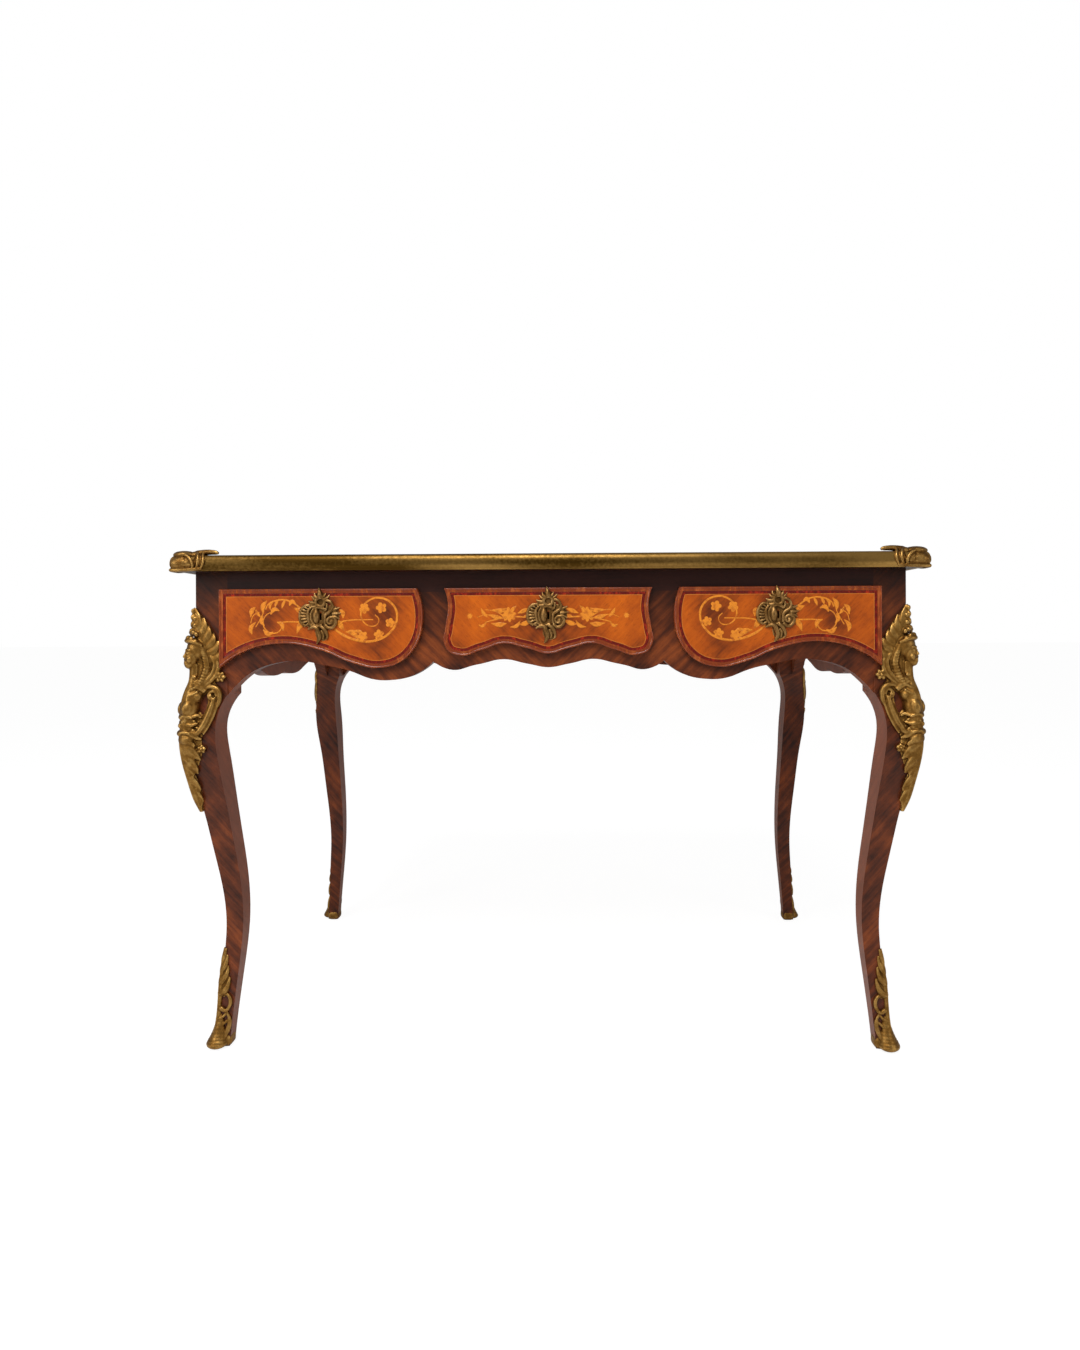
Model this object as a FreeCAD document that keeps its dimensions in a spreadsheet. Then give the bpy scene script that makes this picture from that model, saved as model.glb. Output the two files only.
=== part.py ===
import FreeCAD, Part

import math
import os
from types import SimpleNamespace

# A French flat writing table in the Louis XV manner: three frieze drawers, four cabriole legs,
# gilt bronze mounts at the corners, knees and feet. Millimetres, +X to the right, the front faces -Y,
# +Z up. The origin is on the floor under the middle of the table.

Vector = FreeCAD.Vector

SIZES = (
    ("table_height", 798, "floor to the writing surface"),
    ("top_length", 1180, "top with its edge moulding, left to right"),
    ("top_depth", 710, "top with its edge moulding, front to back"),
    ("top_thickness", 25, "top panel and edge moulding"),
    ("moulding_width", 14, "how far the edge moulding stands out from the panel"),
    ("border_width", 78, "veneered border around the leather"),
    ("leather_thickness", 1.5, "tooled leather inset"),
    ("end_overhang", 24, "top beyond the frieze at each end"),
    ("front_overhang", 35, "top beyond the frieze at front and rear"),
    ("board_thickness", 22, "frieze rails, aprons and panels"),
    ("post_width", 51, "square top of each leg, behind the frieze"),
    ("leg_stock", 95, "how far the leg profile runs inward from the frieze face"),
    ("leg_lift", 3.2, "end grain of the leg over the floor, inside its bronze shoe"),
    ("arch_drop", 168, "writing surface down to the top of the outer arches"),
    ("lobe_drop", 31, "outer arch top down to the side lobes of the apron"),
    ("side_lobe_drop", 35, "outer arch top down to the lobes of the side panels"),
    ("tenon_length", 14, "rail and panel tenons"),
    ("tenon_thickness", 10, "rail and panel tenons"),
    ("tenon_shoulder", 5, "rail and panel tenons, set in from the board's edges"),
    ("stub_length", 10, "stub tenon of each stile into the apron"),
    ("opening_drop", 133, "writing surface down to the drawer runners"),
    ("opening_height", 75, "drawer openings"),
    ("stile_inner", 155, "middle to the near edge of each stile"),
    ("stile_width", 63, "upright between two drawers"),
    ("divider_thickness", 20, "partition behind each stile"),
    ("divider_height", 130, "partition, down from the underside of the top"),
    ("runner_thickness", 12, "drawer runners and kickers"),
    ("runner_bearing", 15, "how far a runner reaches under its drawer"),
    ("guide_height", 18, "side guide on top of each runner"),
    ("front_drop", 52.5, "writing surface down to the top edge of the drawer fronts"),
    ("side_front_inner", 199, "middle to the nearest point of a side drawer front"),
    ("side_front_margin", 41, "side drawer front to the end of the frieze"),
    ("side_front_height", 126.5, "side drawer front at its lowest lobe"),
    ("centre_front_half", 166, "half of the centre drawer front"),
    ("centre_front_height", 107, "centre drawer front at its lowest lobes"),
    ("front_overlay", 9, "moulded drawer front, proud of the frieze"),
    ("front_splay", 3.5, "splayed outer edge of the drawer front's lip"),
    ("front_gap", 0.3, "back of the moulded front to the frieze"),
    ("front_board", 20, "drawer front behind the frieze face"),
    ("lip_width", 7, "moulded lip around the field"),
    ("field_sink", 1.2, "field below the lip"),
    ("drawer_gap", 1, "beside and above each drawer"),
    ("drawer_lift", 0.1, "drawer sides over the runners"),
    ("drawer_length", 480, "drawer sides, front to back"),
    ("drawer_side", 10, "drawer sides and back"),
    ("drawer_bottom", 6, "drawer bottom board"),
    ("bottom_rise", 6, "drawer bottom over the lower edge of the sides"),
    ("groove_depth", 5, "groove that holds the drawer bottom"),
    ("side_step", 4, "drawer side below the top of the drawer front"),
    ("back_step", 4, "drawer back below the drawer side"),
    ("fit_gap", 0.1, "joinery and lock fits"),
    ("lock_length", 60, "lock case"),
    ("lock_height", 52, "lock case"),
    ("lock_thickness", 12, "lock case"),
    ("bolt_width", 18, "lock bolt"),
    ("bolt_thickness", 5, "lock bolt"),
    ("bolt_height", 26, "lock bolt"),
    ("bolt_throw", 7, "travel of the lock bolt"),
    ("keyhole_drop", 97, "writing surface down to the keyhole"),
    ("keyhole_length", 12, "keyhole, top to bottom"),
    ("keyhole_width", 4, "keyhole"),
    ("escutcheon_height", 90, "bronze escutcheon"),
    ("escutcheon_plate", 3, "bronze escutcheon"),
    ("escutcheon_dome", 7, "middle boss over the back of the escutcheon"),
    ("escutcheon_hole", 8, "pierced round hole"),
    ("mount_gap", 0.2, "bronze mounts over the wood"),
    ("chute_drop", 77, "writing surface down to the tip of the knee mount"),
    ("chute_length", 338, "knee mount, tip to tip"),
    ("chute_half_width", 34, "knee mount, across the corner"),
    ("chute_relief", 4, "leaf of the knee mount over the wood"),
    ("chute_bed", 26, "how far the knee mount reaches round the corner"),
    ("bust_proud", 18, "figure of the knee mount, beyond the leg's corner along each side"),
    ("bust_width", 40, "figure of the knee mount, across the corner"),
    ("bust_depth", 40, "figure of the knee mount, front to back"),
    ("rosette_diameter", 18, "rosettes of the knee mount"),
    ("rosette_height", 8, "rosettes of the knee mount"),
    ("sabot_height", 162, "bronze shoe"),
    ("sabot_cup", 30, "closed part of the bronze shoe"),
    ("sabot_relief", 3.4, "bronze shoe over the wood"),
    ("sabot_floor", 3, "bronze under the leg"),
    ("sabot_half_width", 17, "leaf of the shoe, across the corner"),
    ("toe_reach", 1, "middle of the scroll toe, beyond the shoe's corner along each side"),
    ("toe_height", 22, "scroll toe of the shoe"),
    ("toe_width", 16, "scroll toe of the shoe, across the corner"),
    ("toe_eye", 3, "how far the eyes of the scroll stand out at its ends"),
    ("clasp_reach", 66, "corner clasp along each edge"),
    ("clasp_overhang", 5, "corner clasp beyond the moulding"),
    ("clasp_rise", 10, "corner clasp over the top"),
    ("clasp_skirt", 2, "corner clasp below the moulding"),
    ("clasp_splay", 5, "splayed upper edge of the corner clasp"),
    ("block_length", 50, "glue blocks under the top"),
    ("block_width", 20, "glue blocks under the top"),
    ("block_place", 150, "middle of the table's depth to the side blocks"),
    ("screw_diameter", 4, "screws that hold the top"),
    ("screw_head", 8, "screws that hold the top"),
    ("screw_head_height", 3, "screws that hold the top"),
    ("screw_bite", 12, "screws into the top"),
    ("overrun", 10, "how far cutters pass the wood"),
)

# Outline tables. Each row is a share across and a share up or down of the sizes that it follows.
LEG_OUTER_SHARES = (
    (0.93, 0.0), (0.80, 0.0), (0.73, 0.04), (0.65, 0.105), (0.58, 0.053), (0.52, -0.052),
    (0.42, -0.19), (0.34, -0.291), (0.25, -0.343), (0.16, -0.30), (0.05, -0.245), (0.0, -0.21),
)
LEG_INNER_SHARES = (
    (0.0, -0.445), (0.05, -0.478), (0.16, -0.572), (0.25, -0.633), (0.36, -0.61), (0.47, -0.52),
    (0.62, -0.395), (0.68, -0.364),
)
LEG_KNEE_SHARE = 0.745
APRON_SIDE_SHARES = (
    (1.0, 1.74), (0.975, 1.26), (0.924, 0.55), (0.816, 0.0), (0.66, 0.32), (0.505, 1.0),
    (0.42, 0.75), (0.357, 0.03),
)
APRON_CENTRE_SHARES = (
    (0.357, 0.03), (0.307, 0.45), (0.22, 0.2), (0.136, -0.065), (0.065, 0.17), (0.0, 0.355),
)
SIDE_EDGE_SHARES = (
    (1.0, 1.54), (0.955, 1.11), (0.86, 0.37), (0.72, 0.06), (0.5, 0.5), (0.25, 1.0), (0.0, 0.87),
)
SIDE_FRONT_SHARES = (
    (0.028, 1.0), (0.0, 0.65), (0.012, 0.41), (0.049, 0.22), (0.126, 0.055), (0.224, 0.0),
    (0.35, 0.07), (0.5, 0.228), (0.684, 0.315), (0.84, 0.252), (1.0, 0.008),
)
CENTRE_FRONT_SHARES = (
    (0.994, 1.0), (0.958, 0.765), (0.982, 0.418), (1.0, 0.211), (0.952, 0.061), (0.843, 0.0),
    (0.633, 0.08), (0.434, 0.174), (0.21, 0.108), (0.0, 0.023),
)
MOULDING_SHARES = (
    (0.72, 0.0), (0.74, 0.12), (1.0, 0.36), (1.0, 0.68), (0.72, 0.93), (0.5, 1.0),
)
# The leaf of the knee mount: share of its half width, share of its length down from the tip.
CHUTE_SHARES = (
    (0.0, 0.0), (0.42, 0.095), (0.73, 0.17), (0.76, 0.29), (1.0, 0.36), (1.0, 0.43),
    (0.7, 0.55), (0.5, 0.61), (0.6, 0.665), (0.4, 0.71), (0.23, 0.78), (0.3, 0.86), (0.0, 1.0),
)
# The opening beside its neck, inside the scroll that joins collar and hip.
CHUTE_OPENING_SHARES = ((0.46, 0.375), (0.78, 0.39), (0.82, 0.43), (0.66, 0.475), (0.52, 0.47))
# The figure on it, in rings: how far down its length, how proud of the wood, how wide.
BUST_SHARES = (
    (0.0, 0.1, 0.2), (0.09, 0.22, 0.8), (0.16, 0.5, 0.87), (0.215, 0.6, 0.9), (0.28, 0.75, 0.64),
    (0.32, 0.42, 0.45), (0.375, 0.36, 0.52), (0.41, 0.45, 0.88), (0.49, 0.72, 1.0), (0.57, 0.6, 0.68),
    (0.64, 0.4, 0.8), (0.72, 0.4, 0.6), (0.83, 0.3, 0.42), (0.92, 0.4, 0.34), (1.0, 0.22, 0.1),
)
BUST_CLIP_SHARE = 0.3
# Rosettes: how far down the knee mount, and how far from the corner.
ROSETTE_SHARES = ((0.35, 0.92), (0.665, 0.42))
SABOT_LEAF_SHARES = (
    (1.0, 0.0), (0.75, 0.3), (0.85, 0.45), (0.45, 0.62), (0.5, 0.75), (0.0, 1.0),
)
# The slit between the leaves of the shoe, up the middle of the corner.
SABOT_SLIT_SHARES = ((0.0, 0.1), (0.3, 0.22), (0.22, 0.4), (0.0, 0.5))
SABOT_BED_SHARE = 0.69
# The clasp seen from above: shares of its reach inward along both edges and of its overhang.
CLASP_SHARES = (
    (1.0, 0.35), (0.8, 0.75), (0.68, 0.5), (0.52, 0.9), (0.4, 0.65), (0.24, 1.0), (0.16, 0.85),
    (0.06, 1.0),
)
# The clasp's three fingers on the writing surface, and how far they reach in.
CLASP_FINGER_SHARES = ((0.75, 0.16), (0.5, 0.2), (0.62, 0.42), (0.36, 0.36))
# Runs round the escutcheon, in places from the keyhole as shares of its height.
ESCUTCHEON_SHARES = (
    ("line", (0.06, 0.44), (0.17, 0.36), (0.215, 0.24), (0.2, 0.17), (0.34, 0.125), (0.36, 0.035)),
    ("curve", (0.24, -0.06), (0.19, -0.25)),
    ("line", (0.12, -0.395), (0.04, -0.41), (-0.045, -0.485), (-0.055, -0.385), (-0.13, -0.25),
     (-0.3, -0.14), (-0.36, -0.08)),
    ("curve", (-0.38, 0.05), (-0.34, 0.19)),
    ("line", (-0.19, 0.25), (-0.145, 0.36), (-0.06, 0.42), (-0.02, 0.515)),
)
# The boss over the keyhole in rings: half width, half height and how far it has risen.
BOSS_SHARES = ((0.17, 0.21, 0.0), (0.16, 0.19, 0.55), (0.08, 0.12, 1.0))
BOSS_CLIP_SHARE = 0.6
PIERCING_SHARE = 0.28
KEYHOLE_SHARES = (
    (0.4, 1.0), (1.0, 0.75), (1.0, -0.75), (0.4, -1.0), (-0.4, -1.0), (-1.0, -0.75), (-1.0, 0.75),
    (-0.4, 1.0),
)
STUB_INSET_SHARE = 0.25
EYE_SHARE = 0.25
ROUND_SIDES = 8
NEARLY_STRAIGHT = 0.02


class Size:
    """A length that keeps the sheet expression it comes from."""

    def __init__(self, value, words):
        self.value = float(value)
        self.words = words

    def __float__(self):
        return self.value

    def __add__(self, other):
        other = as_size(other)
        return Size(self.value + other.value, f"({self.words} + {other.words})")

    def __sub__(self, other):
        other = as_size(other)
        return Size(self.value - other.value, f"({self.words} - {other.words})")

    def __mul__(self, share):
        share = as_size(share)
        return Size(self.value * share.value, f"({self.words} * {share.words})")

    def __truediv__(self, share):
        share = as_size(share)
        return Size(self.value / share.value, f"({self.words} / {share.words})")

    def __neg__(self):
        return as_size(0) - self

    __radd__ = __add__
    __rmul__ = __mul__


def as_size(value):
    return value if isinstance(value, Size) else Size(value, f"{value:.6f}")


def fill_sheet():
    """Write the sizes to the sheet and give each one back under its name."""
    sheet = doc.addObject("Spreadsheet::Sheet", "Sizes")
    named = {}
    for row, (name, value, note) in enumerate(SIZES, start=1):
        sheet.set(f"A{row}", name)
        sheet.set(f"B{row}", str(value))
        sheet.set(f"C{row}", note)
        sheet.setAlias(f"B{row}", name)
    doc.recompute()
    for name, _, _ in SIZES:
        named[name] = Size(sheet.get(name), f"Sizes.{name}")
    return SimpleNamespace(**named)


doc = FreeCAD.newDocument("WritingTable")
s = fill_sheet()

half_length = s.top_length / 2 - s.end_overhang
half_depth = s.top_depth / 2 - s.front_overhang
leg_inner_x = half_length - s.post_width
leg_inner_y = half_depth - s.post_width
top_under = s.table_height - s.top_thickness
arch_height = s.table_height - s.arch_drop
opening_bottom = s.table_height - s.opening_drop
opening_top = opening_bottom + s.opening_height
front_top = s.table_height - s.front_drop
keyhole_height = s.table_height - s.keyhole_drop
chute_top = s.table_height - s.chute_drop
side_front_length = half_length - s.side_front_margin - s.side_front_inner
side_lock_place = s.side_front_inner + side_front_length / 2
front_face = -half_depth
front_back = front_face + s.board_thickness
side_opening_inner = s.stile_inner + s.stile_width
divider_near = s.stile_inner + (s.stile_width - s.divider_thickness) / 2
divider_far = divider_near + s.divider_thickness
panel_face = half_length - s.board_thickness
nodes = []


def bind(item, prop, size):
    item.setExpression(prop, as_size(size).words)


def block(name, x, y, z):
    """A box between two sizes along each axis."""
    item = doc.addObject("Part::Box", name)
    for prop, axis, (low, high) in (("Length", "x", x), ("Width", "y", y), ("Height", "z", z)):
        bind(item, prop, as_size(high) - low)
        bind(item, f"Placement.Base.{axis}", low)
    return item


def disc(name, place, radius, length, axis=Vector(0, 0, 1)):
    """A short round piece from a place along an axis, filed to eight sides."""
    item = doc.addObject("Part::Prism", name)
    item.Polygon = ROUND_SIDES
    bind(item, "Circumradius", radius)
    bind(item, "Height", length)
    item.Placement.Rotation = FreeCAD.Rotation(Vector(0, 0, 1), axis)
    for letter, at in zip("xyz", place):
        bind(item, f"Placement.Base.{letter}", at)
    return item


def rings(name, sections):
    """A faceted body through closed outlines of equally many corners, each a flat sketch."""
    item = doc.addObject("Part::Loft", name)
    item.Sections = sections
    item.Solid = True
    item.Ruled = True
    item.Linearize = True
    doc.recompute()
    return item


def fuse(name, *items):
    item = doc.addObject("Part::MultiFuse", name)
    item.Shapes = list(items)
    item.Refine = True
    return item


def group(name, *items):
    """Separate solids under one name."""
    item = doc.addObject("Part::Compound", name)
    item.Links = list(items)
    return item


def cut(name, base, *tools):
    """Take each tool away from the base in turn."""
    item = base
    for number, tool in enumerate(tools, start=1):
        last = number == len(tools)
        step = doc.addObject("Part::Cut", name if last else f"{name}_step_{number}")
        step.Base = item
        step.Tool = tool
        step.Refine = last
        item = step
    return item


def common(name, base, tool):
    item = doc.addObject("Part::Common", name)
    item.Base = base
    item.Tool = tool
    item.Refine = True
    return item


def mirror(name, source, normal):
    item = doc.addObject("Part::Mirroring", name)
    item.Source = source
    item.Base = Vector(0, 0, 0)
    item.Normal = normal
    return item


ACROSS = Vector(1, 0, 0)
ALONG = Vector(0, 1, 0)


def keep(item, label):
    """Give a finished sub-part the name of its file."""
    item.Label = label
    nodes.append(item)
    return item


def both_sides(item, stem):
    """Keep the right-hand sub-part and its mirror image on the left."""
    keep(item, f"{stem}_right")
    return keep(mirror(f"{stem}_mirrored", item, ACROSS), f"{stem}_left")


def four_corners(item, stem):
    """Keep the front right sub-part and its mirror images at the other corners."""
    keep(item, f"{stem}_front_right")
    rear = keep(mirror(f"{stem}_rear", item, ALONG), f"{stem}_rear_right")
    keep(mirror(f"{stem}_front_mirrored", item, ACROSS), f"{stem}_front_left")
    keep(mirror(f"{stem}_rear_mirrored", rear, ACROSS), f"{stem}_rear_left")


def arc(start, leave, end):
    """The arc that leaves its start in a direction, or a line where they nearly agree."""
    chord = end - start
    turn = leave.getAngle(chord)
    if turn < NEARLY_STRAIGHT:
        return Part.LineSegment(start, end)
    aside = leave - chord * (leave.dot(chord) / chord.dot(chord))
    rise = aside.normalize() * (chord.Length / 2 * math.tan(turn / 2))
    return Part.Arc(start, start + chord / 2 + rise, end)


def span(start, leave, end, arrive):
    """Two arcs that join smoothly between two points, with a direction at each."""
    chord = end - start
    along = chord.dot(leave + arrive)
    spread = 2 * (1 - leave.dot(arrive))
    reach = chord.dot(chord) / (2 * along)
    if spread > NEARLY_STRAIGHT ** 2:
        reach = (math.sqrt(along ** 2 + spread * chord.dot(chord)) - along) / spread
    joint = (start + end + (leave - arrive) * reach) / 2
    back = arc(end, -arrive, joint)
    return [arc(start, leave, joint), back]


def heading(before, after):
    """The direction at a point between two steps: that of the circle through all three points."""
    return (before * (after.Length / before.Length) + after * (before.Length / after.Length)).normalize()


def headings(points):
    """The direction at each point of an open or closed run."""
    steps = [after - before for before, after in zip(points, points[1:])]
    inner = [heading(before, after) for before, after in zip(steps, steps[1:])]
    if (points[0] - points[-1]).Length == 0:
        seam = heading(steps[-1], steps[0])
        return [seam, *inner, seam]
    first, last = steps[0].normalize(), steps[-1].normalize()
    return [first * (2 * first.dot(inner[0])) - inner[0], *inner,
            last * (2 * last.dot(inner[-1])) - inner[-1]]


def smooth(points):
    """Arcs through the points, two to each span."""
    ways = headings(points)
    edges = []
    for number in range(len(points) - 1):
        edges += span(points[number], ways[number], points[number + 1], ways[number + 1])
    return edges


def outline(start, *runs, hand=1):
    """Edges of a closed outline. A run is the word line, curve or spline, then (across, up) places.
    With hand -1 the outline is turned left for right."""
    edges = []
    here = Vector(float(start[0]) * hand, float(start[1]), 0)
    first = here
    for kind, *places in runs:
        points = [Vector(float(across) * hand, float(up), 0) for across, up in places]
        if kind == "spline":
            curve = Part.BSplineCurve()
            curve.interpolate([here] + points)
            edges.append(curve)
        elif kind == "curve":
            edges += smooth([here] + points)
        else:
            edges += [Part.LineSegment(*ends) for ends in zip([here] + points, points)]
        here = points[-1]
    if (here - first).Length > 0:
        edges.append(Part.LineSegment(here, first))
    return edges


PLANES = {"front": "XZ_Plane", "side": "YZ_Plane", "plan": "XY_Plane"}


def add_sketch(body, name, face, edges, low, high):
    """A sketch on one of the body's own planes. Its pad fills low to high along that plane's axis."""
    plane = [item for item in body.Origin.OriginFeatures if item.Role == PLANES[face]][0]
    sketch = body.newObject("Sketcher::SketchObject", name)
    sketch.AttachmentSupport = [(plane, "")]
    sketch.MapMode = "FlatFace"
    sketch.addGeometry(edges, False)
    start = -as_size(high) if face == "front" else low
    bind(sketch, "AttachmentOffset.Base.z", start)
    return sketch


def prism(name, face, edges, low, high):
    """A body padded from one outline, between two sizes along the outline's axis."""
    body = doc.addObject("PartDesign::Body", name)
    sketch = add_sketch(body, f"{name}_outline", face, edges, low, high)
    pad = body.newObject("PartDesign::Pad", f"{name}_pad")
    pad.Profile = sketch
    bind(pad, "Length", as_size(high) - low)
    doc.recompute()
    return body


def pocket(body, name, face, edges, low, high):
    """Cut an outline out of a body between two sizes, and see that wood went."""
    before = body.Shape.Volume
    sketch = add_sketch(body, f"{name}_outline", face, edges, low, high)
    hole = body.newObject("PartDesign::Pocket", name)
    hole.Profile = sketch
    hole.Reversed = True
    bind(hole, "Length", as_size(high) - low)
    doc.recompute()
    if not body.Shape.Volume < before:
        raise RuntimeError(f"{name} cuts nothing")
    return hole


def leg_outline(side, grow, inner_grow, foot, hand=1):
    """The leg's profile, seen on one face. Distances run outward from the frieze."""
    def spot(height_share, reach_share, extra):
        reach = side + s.leg_stock * reach_share + extra
        return reach, foot + (top_under - foot) * height_share

    outer = [spot(height, reach, grow) for height, reach in LEG_OUTER_SHARES]
    inner = [spot(height, reach, -inner_grow) for height, reach in LEG_INNER_SHARES]
    shoulder = (side + grow, top_under)
    post = side - s.post_width - inner_grow
    knee = (post, foot + (top_under - foot) * LEG_KNEE_SHARE)
    return outline(
        shoulder, ("line", outer[0]), ("spline", *outer[1:]), ("line", inner[0]),
        ("spline", *inner[1:], knee), ("line", (post, top_under)), hand=hand,
    )


def leg_reach(height):
    """How far the leg's corner stands out from the frieze at a height, between its outline's points."""
    share = (height - s.leg_lift) / (top_under - s.leg_lift)
    for (above, far), (below, near) in zip(LEG_OUTER_SHARES, LEG_OUTER_SHARES[1:]):
        if below <= share.value <= above:
            return s.leg_stock * (near + (far - near) * (share.value - below) / (above - below))
    return as_size(0)


def leg_blank(name, grow, inner_grow, foot):
    """The front right leg without its joints: one profile sawn on both faces of the stock.
    With growth on its outer or inner faces, it is a skin over the wood or a bed for a mount."""
    bulk = half_length + s.leg_stock
    face = leg_outline(half_length, grow, inner_grow, foot)
    flank = leg_outline(half_depth, grow, inner_grow, foot, hand=-1)
    front = prism(f"{name}_front_profile", "front", face, -bulk, as_size(0))
    side = prism(f"{name}_side_profile", "side", flank, as_size(0), bulk)
    return common(name, front, side)


def tenon(name, x, z, grow):
    """A tenon on the right end of the front boards, or with some growth its mortise."""
    middle = (front_face + front_back) / 2
    half = s.tenon_thickness / 2 + grow
    return block(name, (x[0], x[1] + grow), (middle - half, middle + half), (z[0] - grow, z[1] + grow))


RAIL_TENON = (opening_top + s.tenon_shoulder, top_under - s.tenon_shoulder)
APRON_TENON = (arch_height - s.lobe_drop, opening_bottom - s.tenon_shoulder)
SIDE_TENON = (arch_height + s.tenon_shoulder, top_under - s.tenon_shoulder)


def side_tenon(name, grow):
    """A tenon on the front end of the right side panel, or its mortise."""
    outer = half_length - s.tenon_shoulder
    return block(
        name, (outer - s.tenon_thickness - grow, outer + grow),
        (-leg_inner_y - s.tenon_length - grow, -leg_inner_y),
        (SIDE_TENON[0] - grow, SIDE_TENON[1] + grow),
    )


def legs():
    reach = (leg_inner_x, leg_inner_x + s.tenon_length)
    leg = cut(
        "leg", leg_blank("leg_blank", as_size(0), as_size(0), s.leg_lift),
        tenon("rail_mortise", reach, RAIL_TENON, s.fit_gap),
        tenon("apron_mortise", reach, APRON_TENON, s.fit_gap),
        side_tenon("side_mortise", s.fit_gap),
    )
    four_corners(leg, "leg")


def lower_edge(scale, drop, shares):
    """Places along a shaped lower edge, right half."""
    return [(scale * across, arch_height - drop * down) for across, down in shares]


def left_half(places):
    return [(-across, up) for across, up in reversed(places)]


def apron_edges(top):
    """The front apron and the rear panel share one lower edge."""
    side = lower_edge(leg_inner_x, s.lobe_drop, APRON_SIDE_SHARES)
    middle = lower_edge(leg_inner_x, s.lobe_drop, APRON_CENTRE_SHARES)
    whole_middle = middle[1:] + left_half(middle)[1:]
    return outline(
        (-leg_inner_x, top), ("line", (leg_inner_x, top), side[0]), ("curve", *side[1:]),
        ("curve", *whole_middle), ("curve", *left_half(side)[1:]),
    )


def end_tenons(name, z):
    """Tenons on both ends of a front board."""
    right = tenon(f"{name}_tenon", (leg_inner_x, leg_inner_x + s.tenon_length), z, as_size(0))
    return right, mirror(f"{name}_tenon_left", right, ACROSS)


def drawer_middles():
    return (("left", -side_lock_place), ("centre", as_size(0)), ("right", side_lock_place))


def top_rail():
    board = block(
        "top_rail_board", (-leg_inner_x, leg_inner_x), (front_face, front_back), (opening_top, top_under)
    )
    whole = fuse("top_rail_whole", board, *end_tenons("top_rail", RAIL_TENON))
    slots = []
    for name, middle in drawer_middles():
        slots.append(bolt_box(f"bolt_mortise_{name}", middle, s.drawer_gap, opening_top,
                              opening_top + s.bolt_throw + s.drawer_gap))
    keep(cut("top_rail", whole, *slots), "top_rail_front")


def bolt_box(name, middle, grow, low, high):
    """The bolt's own box, or with some growth the slot that it runs in."""
    near = front_face - s.front_gap + s.front_board - s.lock_thickness / 2 - s.bolt_thickness / 2
    half = s.bolt_width / 2
    return block(name, (middle - half - grow, middle + half + grow),
                 (near - grow, near + s.bolt_thickness + grow), (low, high))


def front_apron():
    board = prism("apron_board", "front", apron_edges(opening_bottom), front_face, front_back)
    whole = fuse("apron_whole", board, *end_tenons("apron", APRON_TENON))
    keep(cut("apron", whole, *stile_tenons("apron_mortises", s.fit_gap)), "apron_front")


def stile_tenons(name, grow):
    """Stub tenons of both stiles into the apron, or their mortises."""
    right = stub(f"{name}_right", opening_bottom - s.stub_length - grow, opening_bottom, grow)
    return right, mirror(f"{name}_left", right, ACROSS)


def stub(name, low, high, grow):
    inset = s.stile_width * STUB_INSET_SHARE
    middle = (front_face + front_back) / 2
    half = s.tenon_thickness / 2 + grow
    return block(name, (s.stile_inner + inset - grow, side_opening_inner - inset + grow),
                 (middle - half, middle + half), (low, high))


def stiles():
    board = block("stile_board", (s.stile_inner, side_opening_inner), (front_face, front_back),
                  (opening_bottom, opening_top))
    foot = stub("stile_foot", opening_bottom - s.stub_length, opening_bottom, as_size(0))
    both_sides(fuse("stile", board, foot), "stile")


def dividers():
    board = block("divider", (divider_near, divider_far), (front_back, -front_back),
                  (top_under - s.divider_height, top_under))
    both_sides(board, "divider")


def side_panels():
    edge = lower_edge(leg_inner_y, s.side_lobe_drop, SIDE_EDGE_SHARES)
    edges = outline(
        (-leg_inner_y, top_under), ("line", (leg_inner_y, top_under), edge[0]),
        ("curve", *edge[1:]), ("curve", *left_half(edge)[1:]),
    )
    board = prism("side_board", "side", edges, panel_face, half_length)
    front = side_tenon("side_panel_tenon", as_size(0))
    rear = mirror("side_panel_tenon_rear", front, ALONG)
    both_sides(fuse("side_panel", board, front, rear), "side_panel")


def rear_panel():
    board = prism("rear_board", "front", apron_edges(top_under), front_face, front_back)
    tenons = end_tenons("rear_upper", RAIL_TENON) + end_tenons("rear_lower", APRON_TENON)
    whole = fuse("rear_whole", board, *tenons)
    keep(mirror("rear_panel_turned", whole, ALONG), "rear_panel")


def side_front_edges(hand):
    low = front_top - s.side_front_height
    places = [
        (s.side_front_inner + side_front_length * across, low + s.side_front_height * up)
        for across, up in SIDE_FRONT_SHARES
    ]
    outer = s.side_front_inner + side_front_length
    return outline((outer, front_top), ("line", places[0]), ("curve", *places[1:]), hand=hand)


def centre_front_edges():
    low = front_top - s.centre_front_height
    places = [
        (s.centre_front_half * across, low + s.centre_front_height * up)
        for across, up in CENTRE_FRONT_SHARES
    ]
    turned = left_half(places)
    return outline(turned[-1], ("line", places[0]), ("curve", *places[1:], *turned[1:]))


def field_edges(edges):
    """The field's outline: the front's outline drawn in by the width of its lip."""
    wire = Part.Wire(Part.__sortEdges__([edge.toShape() for edge in edges]))
    inner = Part.Face(wire).makeOffset2D(-float(s.lip_width))
    drawn = []
    for edge in inner.Edges:
        low, high = edge.ParameterRange
        start, middle, end = (edge.valueAt(at) for at in (low, (low + high) / 2, high))
        if isinstance(edge.Curve, Part.Line):
            drawn.append(Part.LineSegment(start, end))
        else:
            drawn.append(Part.Arc(start, middle, end))
    return drawn


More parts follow.
